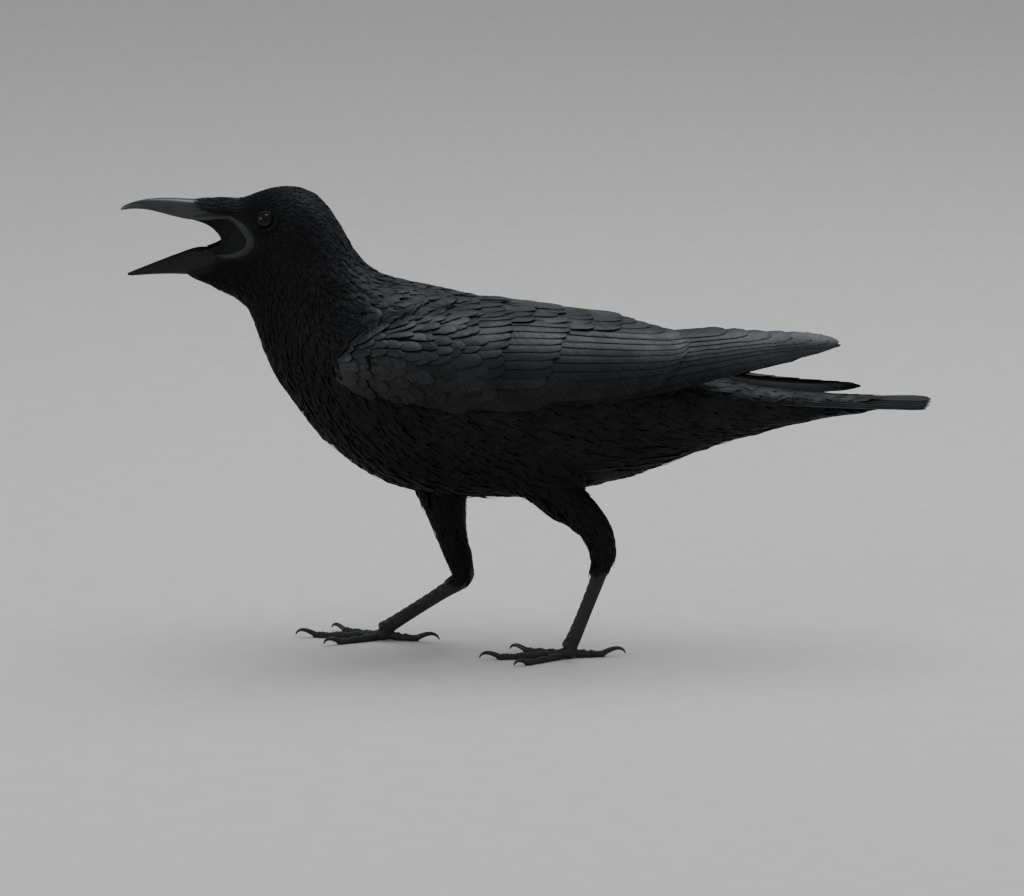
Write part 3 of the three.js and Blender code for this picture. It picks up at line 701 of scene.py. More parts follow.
class CrowStageSettings(bpy.types.PropertyGroup):
    distance: length_of("Camera distance", "From the camera to the bird", 4.0)
    elevation: FloatProperty(
        name="Camera elevation", description="Height of the view over level",
        default=math.radians(12), subtype="ANGLE")
    view_width: length_of("View width", "Width of the view at the bird", 0.57344)
    sky: FloatProperty(name="Surround", description="Strength of the even surround light", default=0.42)
    overhead: FloatProperty(
        name="Overhead light", description="Power of the soft light above", default=30.0, unit="POWER")
    side: FloatProperty(
        name="Side light", description="Power of the soft light at the bill", default=9.0, unit="POWER")


class CrowSettings(bpy.types.PropertyGroup):
    coat: PointerProperty(type=CrowCoatSettings)
    wing: PointerProperty(type=CrowWingSettings)
    head: PointerProperty(type=CrowHeadSettings)
    leg: PointerProperty(type=CrowLegSettings)
    colours: PointerProperty(type=CrowColours)
    stage: PointerProperty(type=CrowStageSettings)


def settings():
    return bpy.context.scene.crow


# ------------------------------------------------------------------ materials

class Value:
    """A node's socket that can be used in arithmetic."""

    def __init__(self, maker, socket):
        self.maker, self.socket = maker, socket

    def _math(self, operation, *others):
        inputs = dict(enumerate((self, *others)))
        return self.maker.node("ShaderNodeMath", {"operation": operation}, inputs)

    def __rsub__(self, other):
        return self.maker.node("ShaderNodeMath", {"operation": "SUBTRACT"}, {0: other, 1: self})

    __add__ = __radd__ = partialmethod(_math, "ADD")
    __sub__ = partialmethod(_math, "SUBTRACT")
    __mul__ = __rmul__ = partialmethod(_math, "MULTIPLY")
    __truediv__ = partialmethod(_math, "DIVIDE")
    __pow__ = partialmethod(_math, "POWER")
    sin = partialmethod(_math, "SINE")
    sign = partialmethod(_math, "SIGN")
    size = partialmethod(_math, "ABSOLUTE")
    least = partialmethod(_math, "MINIMUM")
    most = partialmethod(_math, "MAXIMUM")

    def ramp(self, low, high, to_low=0.0, to_high=1.0):
        return self.maker.node("ShaderNodeMapRange", {"interpolation_type": "SMOOTHSTEP"},
                               {"Value": self, "From Min": low, "From Max": high,
                                "To Min": to_low, "To Max": to_high})


class Maker:
    """Makes the nodes of a tree, from a kind, its settings and its sockets' values or links."""

    def node(self, kind, properties=None, inputs=None, output=0):
        made = self.tree.nodes.new(kind)
        for key, value in (properties or {}).items():
            setattr(made, key, value)
        for key, value in (inputs or {}).items():
            if isinstance(value, Value):
                self.tree.links.new(value.socket, made.inputs[key])
            else:
                made.inputs[key].default_value = value
        return Value(self, made.outputs[output])

    def parts(self, vector):
        made = self.node("ShaderNodeSeparateXYZ", None, {0: vector}).socket.node
        return [Value(self, socket) for socket in made.outputs]

    def vector(self, x, y, z=0.0):
        return self.node("ShaderNodeCombineXYZ", None, {"X": x, "Y": y, "Z": z})


class Shader(Maker):
    """A node material under construction."""

    def __init__(self, name, **constants):
        self.material = bpy.data.materials.new(name)
        self.material.use_nodes = True
        self.tree = self.material.node_tree
        self.surface = self.tree.nodes["Principled BSDF"]
        for socket, value in constants.items():
            self.surface.inputs[socket.replace("_", " ")].default_value = value

    def place(self, scale=(1, 1, 1)):
        where = self.node("ShaderNodeTexCoord", output="Object")
        return self.node("ShaderNodeMapping", None, {"Vector": where, "Scale": scale})

    def layer(self, name):
        return self.node("ShaderNodeUVMap", {"uv_map": name})

    def noise(self, vector, scale, detail=2.0, rough=0.5):
        return self.node("ShaderNodeTexNoise", None,
                         {"Vector": vector, "Scale": scale, "Detail": detail, "Roughness": rough})

    def cells(self, vector, scale):
        """The distance to the nearest seam between cells."""
        return self.node("ShaderNodeTexVoronoi", {"feature": "DISTANCE_TO_EDGE"},
                         {"Vector": vector, "Scale": scale}, "Distance")

    def mix(self, factor, a, b):
        made = self.tree.nodes.new("ShaderNodeMix")
        made.data_type = "RGBA"
        sockets = [s for s in made.inputs if s.enabled]
        for socket, value in zip(sockets, (factor, a, b)):
            if isinstance(value, Value):
                self.tree.links.new(value.socket, socket)
            elif isinstance(value, (int, float)):
                socket.default_value = value
            else:
                socket.default_value = (*tuple(value)[:3], 1.0)
        return Value(self, next(s for s in made.outputs if s.enabled))

    def bump(self, height, strength, distance):
        return self.node("ShaderNodeBump", None,
                         {"Height": height, "Strength": strength, "Distance": distance})

    def feed(self, **sockets):
        for socket, value in sockets.items():
            self.tree.links.new(value.socket, self.surface.inputs[socket.replace("_", " ")])
        return self.material


def feather_material(name, stiff):
    """Feather vanes: barbs in a chevron either side of the shaft, dull edges and a soft gloss.
    Stiff ones are flight feathers, with finer barbs and a raised shaft."""
    colours = settings().colours
    shader = Shader(name, Specular_IOR_Level=0.09, Coat_IOR=1.5, Coat_Roughness=0.42 if stiff else 0.46)
    vane = shader.node("ShaderNodeAttribute", {"attribute_name": "vane"}, output="Color")
    side, along, tone = shader.parts(vane)
    gloss = shader.node("ShaderNodeAttribute", {"attribute_name": "vane"}, output="Alpha")
    edge = (side * 2.0 - 1.0).size()
    across, down, _ = shader.parts(shader.layer("Vane"))
    barb_way = down - across.size() * (0.8 if stiff else 1.3)
    fibres = shader.noise(shader.vector(barb_way * (2.6 if stiff else 2.0), across * 0.35), 1.0, 2.0, 0.6)
    comb = (barb_way * (2 * math.pi / (0.55 if stiff else 0.85)) + fibres * 3.0).sin()
    clump = shader.noise(shader.vector(down * 0.12, across * 0.5), 1.0, 2.0, 0.5)
    large = shader.noise(shader.place(), 42.0, 2.0, 0.5)
    locks = shader.noise(shader.vector(barb_way * 0.75, across * 0.09), 1.0, 3.0, 0.65)
    streak = locks.ramp(0.36, 0.68)
    rim = edge.ramp(0.74, 0.98).most(along.ramp(0.86, 1.0)) * (0.4 + streak * 0.6)
    shaft = edge.ramp(0.06, 0.0)
    # The pale mix of worn rims, barb streaks, clumps and random tone, scaled by the vane's gloss. The rims
    # and streaks are wear and texture. The scaling by gloss paints a sheen on the glossy upper coat of the
    # back and wings.
    light = (rim * 0.5 + streak * 0.34 + clump.ramp(0.35, 0.75) * 0.16 + tone * 0.22) * (0.22 + gloss * 0.78)
    colour = shader.mix(light.least(1.0), colours.plumage, colours.plumage_wear_and_sheen)
    if stiff:
        # Painted sheen: the rear of the folded wings, where it stands high and faces the light above, is
        # blended towards the pale tip colour. This is partly wear of the feather tips and partly a painted
        # highlight. The same zone also gets more coat gloss below.
        rear, _, high = shader.parts(shader.place())
        wear_and_sheen = rear.ramp(0.04, 0.16) * high.ramp(0.158, 0.176)
        colour = shader.mix(wear_and_sheen * (0.5 + streak * 0.4), colour, colours.plumage_tip_wear_and_sheen)
    colour = shader.mix(shaft * 0.5, colour, tuple(c * 0.5 for c in colours.plumage))
    shine = gloss * (0.11 + tone * 0.28 + large.ramp(0.3, 0.7) * 0.33 + streak * 0.32 - rim * 0.2)
    if stiff:
        shine = shine * high.ramp(0.145, 0.166, 0.5, 1.0) + wear_and_sheen * 0.3
    rough = 0.62 - gloss * 0.08 + edge.ramp(0.6, 1.0) * 0.08
    height = comb * 0.35 + fibres * 0.9 + locks * 2.2
    if stiff:
        height = height + shaft * 3.0
    normal = shader.bump(height, 0.32 if stiff else 0.5, 0.0002)
    return shader.feed(Base_Color=colour, Roughness=rough, Coat_Weight=shine.least(1.0), Normal=normal)


def horn_material(name, dust_and_sheen, gloss=0.5):
    colours = settings().colours
    shader = Shader(name, Specular_IOR_Level=gloss)
    where = shader.place((1.0, 3.2, 3.2))
    streaks = shader.noise(where, 260.0, 4.0, 0.6)
    broad = shader.noise(shader.place(), 70.0, 3.0, 0.55)
    scratch = shader.noise(shader.place((0.5, 6.0, 6.0)), 420.0, 2.0, 0.5)
    # Pale blotches on the horn. On the claws they are dust. On the upper bill they are partly dust and partly
    # a painted sheen where it faces the light above.
    colour = shader.mix(broad.ramp(0.42, 0.75) * dust_and_sheen, colours.horn, (0.021, 0.0195, 0.018))
    rough = 0.22 + broad.ramp(0.35, 0.75) * 0.10 + scratch.ramp(0.45, 0.7) * 0.07
    normal = shader.bump(streaks * 0.7 + scratch * 0.5, 0.16, 0.00016)
    return shader.feed(Base_Color=colour, Roughness=rough, Normal=normal)


def scale_material(name, scale, strength):
    """Bare leg skin: small rounded scales with paler seams."""
    colours = settings().colours
    shader = Shader(name, Specular_IOR_Level=0.45)
    where = shader.place()
    seam = shader.cells(where, scale)
    fine = shader.noise(where, 900.0, 3.0, 0.6)
    broad = shader.noise(where, 120.0, 2.0, 0.5)
    colour = shader.mix(broad.ramp(0.35, 0.7) * 0.6 + seam.ramp(0.09, 0.0) * 0.35,
                        colours.leg, (0.021, 0.0195, 0.0185))
    rough = 0.42 + fine.ramp(0.3, 0.7) * 0.14 + seam.ramp(0.1, 0.0) * 0.15
    normal = shader.bump(seam.ramp(0.0, 0.16) + fine * 0.25, strength, 0.0003)
    return shader.feed(Base_Color=colour, Roughness=rough, Normal=normal)


def skin_material():
    """The skin under the coat, which turns to moist lining inside the mouth."""
    colours = settings().colours
    shader = Shader("Crow skin", Specular_IOR_Level=0.2)
    where = shader.place()
    x, y, z = shader.parts(where)
    throat = placed([-152.0, 0.0, 236.0])
    apart = [(axis - float(at)) / (reach * MM) for axis, at, reach in zip((x, y, z), throat, (17, 8.6, 8))]
    inside = (apart[0] * apart[0] + apart[1] * apart[1] + apart[2] * apart[2]).ramp(1.3, 0.95)
    folds = shader.noise(shader.place((1.0, 2.2, 0.7)), 380.0, 3.0, 0.55)
    dark = shader.mix(folds.ramp(0.3, 0.7), (0.0026, 0.0026, 0.003), (0.0045, 0.0044, 0.0046))
    lining = shader.mix(folds.ramp(0.3, 0.75), tuple(c * 0.45 for c in colours.mouth), colours.mouth)
    rough = 0.7 - inside * 0.4
    normal = shader.bump(folds, 0.3, 0.0004)
    return shader.feed(Base_Color=shader.mix(inside, dark, lining), Roughness=rough, Normal=normal)


def soft_material(name, colour, rough, wrinkle, tint=(0.02, 0.018, 0.019), gloss=0.4, relief=0.35):
    """Moist bare skin such as the tongue and the rim of the mouth."""
    shader = Shader(name, Specular_IOR_Level=gloss)
    where = shader.place((1.0, 1.6, 1.6))
    folds = shader.noise(where, wrinkle, 3.0, 0.55)
    spots = shader.noise(shader.place(), wrinkle * 0.4, 2.0, 0.5)
    shade = shader.mix(spots.ramp(0.35, 0.7) * 0.8, colour, tint)
    normal = shader.bump(folds, relief, 0.0004)
    return shader.feed(Base_Color=shade, Roughness=rough + folds.ramp(0.3, 0.7) * 0.12, Normal=normal)


def eye_material():
    head, colours = settings().head, settings().colours
    shader = Shader("Crow eye", Specular_IOR_Level=0.05, Coat_Roughness=0.015, Coat_IOR=1.38)
    ring, about, _ = shader.parts(shader.layer("Eye"))
    fibre = shader.noise(shader.vector(about * 26.0, ring * 1.2), 1.0, 3.0, 0.6)
    iris, pupil = head.iris / MM, head.pupil / MM
    in_iris = ring.ramp(iris + 0.15, iris - 0.15)
    in_pupil = ring.ramp(pupil + 0.12, pupil - 0.12)
    rim = ring.ramp(iris - 0.9, iris - 0.1)
    brown = shader.mix(fibre.ramp(0.3, 0.7), tuple(c * 0.5 for c in colours.iris), colours.iris)
    brown = shader.mix(rim * 0.7, brown, (0.006, 0.003, 0.002))
    colour = shader.mix(in_iris, (0.003, 0.0026, 0.0026), brown)
    colour = shader.mix(in_pupil, colour, (0.0012, 0.0012, 0.0014))
    open_part = ring.ramp(6.3, 5.6)
    return shader.feed(Base_Color=colour, Roughness=0.66 - in_iris * 0.08 - open_part * 0.5,
                       Coat_Weight=(in_iris * 0.15 + 0.5) * open_part)


def plain_dark(name, colour, rough):
    """Fine dark bristles."""
    shader = Shader(name, Specular_IOR_Level=0.4)
    tint = shader.noise(shader.place(), 300.0, 2.0, 0.5)
    shade = shader.mix(tint.ramp(0.35, 0.7), colour, tuple(c * 2.2 for c in colour))
    return shader.feed(Base_Color=shade, Roughness=rough + tint * 0.1)


# ------------------------------------------------------------------ skin and coat

BUILT = {}


def node_copy(name, grow):
    """A node's points, doubles merged and grown along its normals, and its triangles, in metres."""
    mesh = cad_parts[name].data.copy()
    work = bmesh.new()
    work.from_mesh(mesh)
    bmesh.ops.remove_doubles(work, verts=work.verts, dist=1e-6)
    bmesh.ops.triangulate(work, faces=work.faces)
    work.normal_update()
    points = np.array([v.co + v.normal * grow for v in work.verts])
    faces = np.array([[v.index for v in f.verts] for f in work.faces])
    work.free()
    bpy.data.meshes.remove(mesh)
    return points, [faces]


def wing_flesh(stations, side, first, last, inset):
    """The flesh of a folded wing between two places, under its outer face, in metres."""
    wing = Wing(stations, side)
    x = np.linspace(first, last, 44)
    v = np.linspace(0.03, 0.97, 13)
    grid_x, grid_v = np.meshgrid(x, v, indexing="ij")
    face, normal = wing.at(grid_x, grid_v, np.zeros_like(grid_x))
    outer = face - normal * inset
    thick = wing.columns(x)[5][:, None] * np.sqrt(np.sin(np.pi * grid_v).clip(0)) + 1.5
    inner = (outer - normal * thick[..., None])[:, 1:-1][:, ::-1]
    points, faces = loft(np.concatenate([outer, inner], 1))
    return placed(points), faces


class CROW_OT_skin(bpy.types.Operator):
    """Fuses the flesh into one skin, drawn in by the depth of the coat"""
    bl_idname = "crow.skin"
    bl_label = "Skin"

    def execute(self, context):
        flesh = ["head", "neck", "trunk", "thigh_left", "thigh_right"]
        solids = [node_copy(name, 0.35 * MM) for name in flesh]
        solids += [node_copy(name, 0.0) for name in ("eye_left", "eye_right", "bill_upper", "bill_lower")]
        solids += [wing_flesh(stations, side, -94, -50, 0.3) for _, stations, side in WINGS]
        skin = remeshed("skin", *joined(solids), settings().coat.voxel, 5)
        lie = Lie()
        points, normals = mesh_points(skin.data), mesh_normals(skin.data)
        place = drawn(points)
        depth = coat_values(lie, lie.nearest(place))[:, 2]
        depth = np.where((place[:, 0] < -144) & bare(place), BARE_DEPTH, depth)
        at_eye = np.linalg.norm((place - EYE_AT) * [1, 0, 1], axis=1) < LID_REACH
        depth = np.where(at_eye & (np.abs(place[:, 1]) > 8), LID_DEPTH, depth)
        moved = points - normals * (depth * MM)[:, None]
        skin.data.vertices.foreach_set("co", moved.astype(np.float32).ravel())
        skin.data.update()
        soften = skin.modifiers.new("Soften", "SMOOTH")
        soften.factor, soften.iterations = 0.5, 4
        evaluated(skin)
        skin.data.shade_smooth()
        material = skin_material()
        finish(skin, material, "feather", *flesh)
        for label, stations, side in WINGS:
            points, faces = wing_flesh(stations, side, -56, 84, 2.2)
            finish(mesh_object("wing_flesh_" + label, points, faces), material, "feather")
        BUILT["skin"], BUILT["lie"] = skin, lie
        return {"FINISHED"}


def scattered(mesh, spacing_at, rng):
    """Roots spread over a mesh at a spacing that changes from place to place, in drawn mm."""
    mesh.calc_loop_triangles()
    tris = np.empty(len(mesh.loop_triangles) * 3, np.int32)
    mesh.loop_triangles.foreach_get("vertices", tris)
    corners = drawn(mesh_points(mesh))[tris.reshape(-1, 3)]
    area = np.linalg.norm(np.cross(corners[:, 1] - corners[:, 0], corners[:, 2] - corners[:, 0]), axis=1) / 2
    spacing = spacing_at(corners.mean(axis=1))
    want = CROWD * area / np.maximum(spacing, 0.1) ** 2
    want[~np.isfinite(spacing)] = 0
    count = rng.poisson(want)
    tri = np.repeat(np.arange(len(area)), count)
    a, b = rng.random(len(tri)), rng.random(len(tri))
    flip = a + b > 1
    a[flip], b[flip] = 1 - a[flip], 1 - b[flip]
    c = corners[tri]
    spots = c[:, 0] + (c[:, 1] - c[:, 0]) * a[:, None] + (c[:, 2] - c[:, 0]) * b[:, None]
    reach = spacing[tri]
    tree = kdtree.KDTree(len(spots))
    for i, spot in enumerate(spots):
        tree.insert(spot, i)
    tree.balance()
    alive, kept = np.ones(len(spots), bool), []
    for i in rng.permutation(len(spots)):
        if alive[i]:
            kept.append(i)
            for _, j, _ in tree.find_range(spots[i], reach[i]):
                alive[j] = False
    return spots[np.array(kept)]


def under_wing(points, left, right):
    """Body places that a folded wing hides, with a margin inside its edges."""
    x, y, z = points.T
    hidden = np.zeros(len(points), bool)
    for wing, near in ((left, y < -9), (right, y > 9)):
        ty, tz, _, bz, _, _ = wing.columns(x)
        reach = np.interp(x, [-90, -60, 60, 120], [0.0, 1.0, 1.0, 0.0])
        inside = (z < tz - 1.0) & (z > bz + 7) & (reach > 0.35) & near
        inside |= near & (reach > 0.9) & (np.abs(y) > np.abs(ty) + 3) & (z > bz + 7)
        hidden |= inside
    return hidden


def around_eye(points, flow):
    """The flow turned aside where it would run over an eye."""
    away = points - EYE_AT * np.stack([np.ones(len(points)), np.sign(points[:, 1]), np.ones(len(points))], -1)
    away[:, 1] = 0
    distance = np.linalg.norm(away, axis=1)
    radial = unit(away)
    towards = np.clip(-(flow * radial).sum(1), 0, 1)
    near = np.clip((EYE_REACH - distance) / 5, 0, 1) * (np.abs(points[:, 1]) > HEAD_SIDE)
    return unit(flow + radial * (towards * near * 1.25)[:, None]), distance


def ground(mesh):
    """What the coat lies on, as a search tree and a normal for each face: the skin, the root of
    the tail and the tops of the shanks."""
    polys = [tuple(p.vertices) for p in mesh.polygons]
    normals = mesh_normals(mesh)
    facing = [unit(normals[list(p)].mean(axis=0)) for p in polys]
    points = drawn(mesh_points(mesh))
    pack = tail_rings(150, 222, 30, 11)
    extra = [loft(np.concatenate([pack[:, :, 0], pack[:, ::-1, 1]], 1)), loft(tail_root())]
    extra += [loft(limb_rings(leg["shank"][:3], leg["side"], 16, 16, 0.4)[2:]) for leg in LEGS.values()]
    for more, faces in extra:
        for face in np.concatenate([f[:, [0, 1, 2, -1]] for f in faces]):
            corner = more[face]
            facing.append(unit(np.cross(corner[1] - corner[0], corner[2] - corner[0])))
            polys.append(tuple(int(v) + len(points) for v in dict.fromkeys(face.tolist())))
        points = np.concatenate([points, more])
    return BVHTree.FromPolygons([Vector(p) for p in points], polys), np.array(facing)


def marched(skin_tree, smooth_normals, lie, roots, values, rows, rng, unruly):
    """Centre lines of feathers laid over the skin along the lie of the coat."""
    index = lie.nearest(roots)
    flow, _ = around_eye(roots, lie.flows[index].copy())
    length = values[:, 0]
    turn = rng.normal(0, 1, len(roots)) * unruly * (1.7 - values[:, 4])
    centre = np.empty((len(roots), rows, 3))
    normal = np.empty_like(centre)
    at, way = roots.copy(), flow
    gone = np.zeros(len(roots), bool)
    for row in range(rows):
        place, face = np.empty_like(at), np.empty(len(at), int)
        gap = np.zeros(len(at))
        for i, p in enumerate(at):
            hit, _, f, gap[i] = skin_tree.find_nearest(p)
            place[i], face[i] = hit, f
        n = smooth_normals[face]
        if row:
            gone |= gap > 0.4 * length / (rows - 1) + 0.25
            gone |= (n * normal[:, row - 1]).sum(1) < 0.5
            place[gone], n[gone] = at[gone], normal[gone, row - 1]
        centre[:, row], normal[:, row] = place, n
        flow, _ = around_eye(place, lie.flows[lie.nearest(place)])
        flow[gone] = way[gone]
        way = unit(way * 0.45 + flow * 0.55) if row else flow
        way = unit(way - n * (way * n).sum(1)[:, None])
        if row == 0:
            side = np.cross(n, way)
            way = unit(way * np.cos(turn)[:, None] + side * np.sin(turn)[:, None])
        at = place + way * (length / (rows - 1) * np.where(gone, 0.6, 1))[:, None]
    return centre, normal


def coat_batch(centre, normal, values, rows, cols, rng, corner):
    """A batch of body vanes over their centre lines."""
    n = len(centre)
    length, width, depth, blunt, gloss = values.T
    t = np.linspace(0, 1, rows)
    lift = np.interp(t, [0, 0.45, 0.8, 1], [0.12, 0.62, 0.95, TIP_LIFT])
    wild = 1 + rng.normal(0, 0.05, n) * (2.4 - 1.8 * gloss)
    spine = centre + normal * (lift[None] * (depth * wild)[:, None])[..., None]
    along = unit(np.gradient(spine, axis=1))
    across = unit(np.cross(normal, along))
    roll = (rng.normal(0, 0.05, n) * (2.6 - 2 * gloss))[:, None, None]
    across = unit(across + normal * roll)
    half = vane_profile(t[None, :], blunt[:, None]) * (width * 0.5)[:, None]
    half[:, -1] = np.maximum(half[:, -1], width * 0.045)
    c = np.linspace(-1, 1, cols)
    offset = c[None, None, :] * half[..., None]
    sag = (c**2)[None, None, :] * half[..., None] * 0.15
    fringe = np.zeros((n, rows, cols))
    tail = np.clip((t - 0.6) / 0.4, 0, 1)
    fringe -= (length * 0.10)[:, None, None] * tail[None, :, None] * (np.abs(c) ** 1.5)[None, None, :]
    fringe += (length * 0.05)[:, None, None] * tail[None, :, None] * rng.normal(0, 1, (n, rows, cols))
    top = (
        spine[:, :, None]
        + across[:, :, None] * offset[..., None]
        + along[:, :, None] * fringe[..., None]
        - normal[:, :, None] * sag[..., None]
    )
    up = np.repeat(normal[:, :, None], cols, 2)
    far = (t[None, :, None] * length[:, None, None]) + fringe
    thick = COAT_THICKNESS * (0.4 + 0.6 * np.minimum(width / 4, 1))[:, None, None]
    return {"top": top, "normal": up, "thick": thick,
            "x": offset, "y": far, "tone": rng.random(n), "gloss": gloss, "corner": corner}


class CROW_OT_coat(bpy.types.Operator):
    """Lays the body feathers over the skin, smallest on the face"""
    bl_idname = "crow.coat"
    bl_label = "Coat"

    def execute(self, context):
        coat = settings().coat
        rng = np.random.default_rng(SEED)
        skin, lie = BUILT["skin"], BUILT["lie"]
        left, right = (Wing(stations, side) for _, stations, side in WINGS)
        mesh = skin.data
        skin_tree, smooth_normals = ground(mesh)

        def spacing_at(points):
            index = lie.nearest(points)
            values = coat_values(lie, index)
            spacing = np.maximum(values[:, 1] * coat.spacing, coat.closest / MM)
            kind = lie.kinds[index]
            skip = bare(points)
            skip |= (kind == WING_KIND) & (points[:, 0] > -76)
            skip |= (kind == BODY_KIND) & under_wing(points, left, right)
            skip |= (kind == THIGH_KIND) & (lie.params[index, 0] > 1.02)
            spacing[skip] = np.inf
            return spacing

        roots = scattered(mesh, spacing_at, rng)
        facing = np.array([smooth_normals[skin_tree.find_nearest(p)[2]] for p in roots])
        along = (facing * lie.flows[lie.nearest(roots)]).sum(1)
        cap = np.where(roots[:, 0] > TAPER_FROM, TAPER_CAP, END_CAP)
        roots = roots[(along < cap) & (roots[:, 0] < LAST_ROOT)]
        index = lie.nearest(roots)
        values = coat_values(lie, index)
        kind, u, turn = lie.kinds[index], lie.params[index, 0], lie.params[index, 1]
        values[:, 0] *= 1 + rng.normal(0, 0.08, len(roots))
        values[:, 1] *= 1 + rng.normal(0, 0.08, len(roots))
        _, eye = around_eye(roots, lie.flows[index])
        near_eye = (eye < EYE_REACH) & (np.abs(roots[:, 1]) > HEAD_SIDE)
        values[near_eye, 0] *= np.clip((eye[near_eye] - 4.2) / 6, 0.35, 1)
        material = feather_material("Crow body feathers", False)
        thigh, face = kind == THIGH_KIND, (kind == NASAL_KIND) | (kind == CHIN_KIND)
        body = ~thigh
        u = np.where(face, 0.0, u)
        u = np.where(kind == WING_KIND, 8.0, u)
        plans = [
            ("coat_face", body & (u < 1.9), 4, 3, (0, 1.9)),
            ("coat_crown", body & (u >= 1.9) & (u < 3.4), 4, 3, (1.9, 3.4)),
            ("coat_nape", body & (u >= 3.4) & (u < 5.2), 5, 3, (3.4, 5.2)),
            ("coat_neck", body & (u >= 5.2) & (u < 8), 6, 5, (5.2, 8)),
            ("coat_back", body & (u >= 8) & (np.cos(turn) > 0.15), 6, 5, (8, 18)),
            ("coat_breast", body & (u >= 8) & (u < 10.5) & (np.cos(turn) <= 0.15), 6, 5, (8, 10.5)),
            ("coat_belly", body & (u >= 10.5) & (np.cos(turn) <= 0.15), 6, 5, (10.5, 18)),
            ("coat_thigh_left", thigh & (turn < 2), 6, 5, None),
            ("coat_thigh_right", thigh & (turn >= 2), 6, 5, None),
        ]
        for name, chosen, rows, cols, span in plans:
            picked = np.flatnonzero(chosen)
            if not len(picked):
                raise RuntimeError(name + " has no feathers")
            centre, normal = marched(skin_tree, smooth_normals, lie, roots[picked], values[picked],
                                     rows, rng, coat.unruly)
            heading = unit(centre[:, -1] - centre[:, 0])
            limit = np.where(roots[picked, 0] > REAR_FROM, REAR_STRAY, STRAY)
            true = (heading * lie.flows[index[picked]]).sum(1) > limit
            picked, centre, normal = picked[true], centre[true], normal[true]
            if span:
                down = (u[picked] - span[0]) / (span[1] - span[0])
                corner = np.stack([turn[picked] / (2 * np.pi), down], -1)
            else:
                corner = np.stack([turn[picked] % 1.0, u[picked]], -1)
            corner = PATCH_START + np.clip(corner, 0, 1) * PATCH_SPAN
            batch = coat_batch(centre, normal, values[picked], rows, cols, rng, corner)
            piece = vane_piece(name, [batch], COAT_PATCH)
            finish(piece, material, "feather")
            print(name, len(picked), "feathers", len(piece.data.polygons) * 2, "triangles")
        BUILT["material"] = material
        return {"FINISHED"}


# ------------------------------------------------------------------ wings and tail

# The unwrap of the long feathers, in shares of a cell: a vane's patch and the margin before it.
BLADE_PATCH = 0.84
BLADE_MARGIN = 0.08


def blade(t, root, blunt):
    """Half width along a long feather."""
    rise = root + (1 - root) * np.sin(np.clip(t / 0.3, 0, 1) * np.pi / 2)
    return rise * np.sqrt(np.clip(1 - np.clip((t - blunt) / (1 - blunt), 0, 1) ** 2.2, 0, 1))


def long_feathers(surface, feathers, rows, cols, rng, cells, first):
    """Long vanes on a surface, each from its own dict as `feather` makes it."""
    n = len(feathers)
    t = 1 - (1 - np.linspace(0, 1, rows)) ** 1.6
    c = np.linspace(-1, 1, cols)

    def get(key, dims=0):
        """A number of each feather, with axes added, or its pair of numbers if dims is negative."""
        values = np.array([f[key] for f in feathers], float)
        return values.reshape((n, -1) if dims < 0 else (n,) + (1,) * dims)

    start, end = get("start", -1), get("end", -1)
    x = start[:, 0:1] + (end[:, 0:1] - start[:, 0:1]) * t
    v = start[:, 1:2] + (end[:, 1:2] - start[:, 1:2]) * t + get("bow", 1) * 4 * t * (1 - t)
    form = blade(t[None, :], get("root", 1), get("blunt", 1))
    form[:, -1] = np.maximum(form[:, -1], 0.16)
    inner, outer = form * get("inner", 1), form * get("outer", 1)
    offset = np.where(c < 0, c * inner[..., None], c * outer[..., None])
    length = np.abs(end[:, 0] - start[:, 0])
    fringe = rng.normal(0, 0.004, (n, rows, cols)) * length[:, None, None]
    fringe *= np.clip((t - 0.7) / 0.3, 0, 1)[None, :, None]
    depth = get("deep", 1) + (get("shallow", 1) - get("deep", 1)) * np.clip(t / 0.85, 0, 1) ** 1.2
    roll = get("roll", 2) * np.clip(t / 0.3, 0.2, 1)[None, :, None]
    height = roll * offset - get("camber", 2) * offset**2 - depth[..., None]
    edge = np.clip(np.abs(c) * 2 - 1, 0, 1)[None, None, :] * np.sign(c)
    offset = offset + rng.normal(0, 0.16, (n, rows, cols)) * edge
    top, normal = surface(x[..., None] + fringe, v[..., None], offset, height)
    count = first + np.arange(n)
    corner = np.stack([(count % cells) / cells, (count // cells) / cells], -1) + BLADE_MARGIN / cells
    return {"top": top, "normal": normal, "thick": np.full((n, 1, 1), settings().wing.thickness / MM),
            "x": offset, "y": t[None, :, None] * length[:, None, None] + np.zeros_like(offset),
            "tone": rng.random(n), "gloss": get("gloss"), "corner": corner}


def feather(start, end, inner, outer, deep, shallow, blunt=0.7, bow=0.0, roll=0.1, camber=0.012, gloss=1.0,
            root=0.55):
    """A feather from start to end (along, across), in mm: the widths of its covered inner and its
    open outer web, how deep its root and its tip lie, how far the open edge is raised, its arch."""
    return {"start": start, "end": end, "inner": inner, "outer": outer, "deep": deep, "shallow": shallow,
            "blunt": blunt, "bow": bow, "roll": roll, "camber": camber, "gloss": gloss, "root": root}


def steps_between(count):
    return [i / max(count - 1, 1) for i in range(count)]


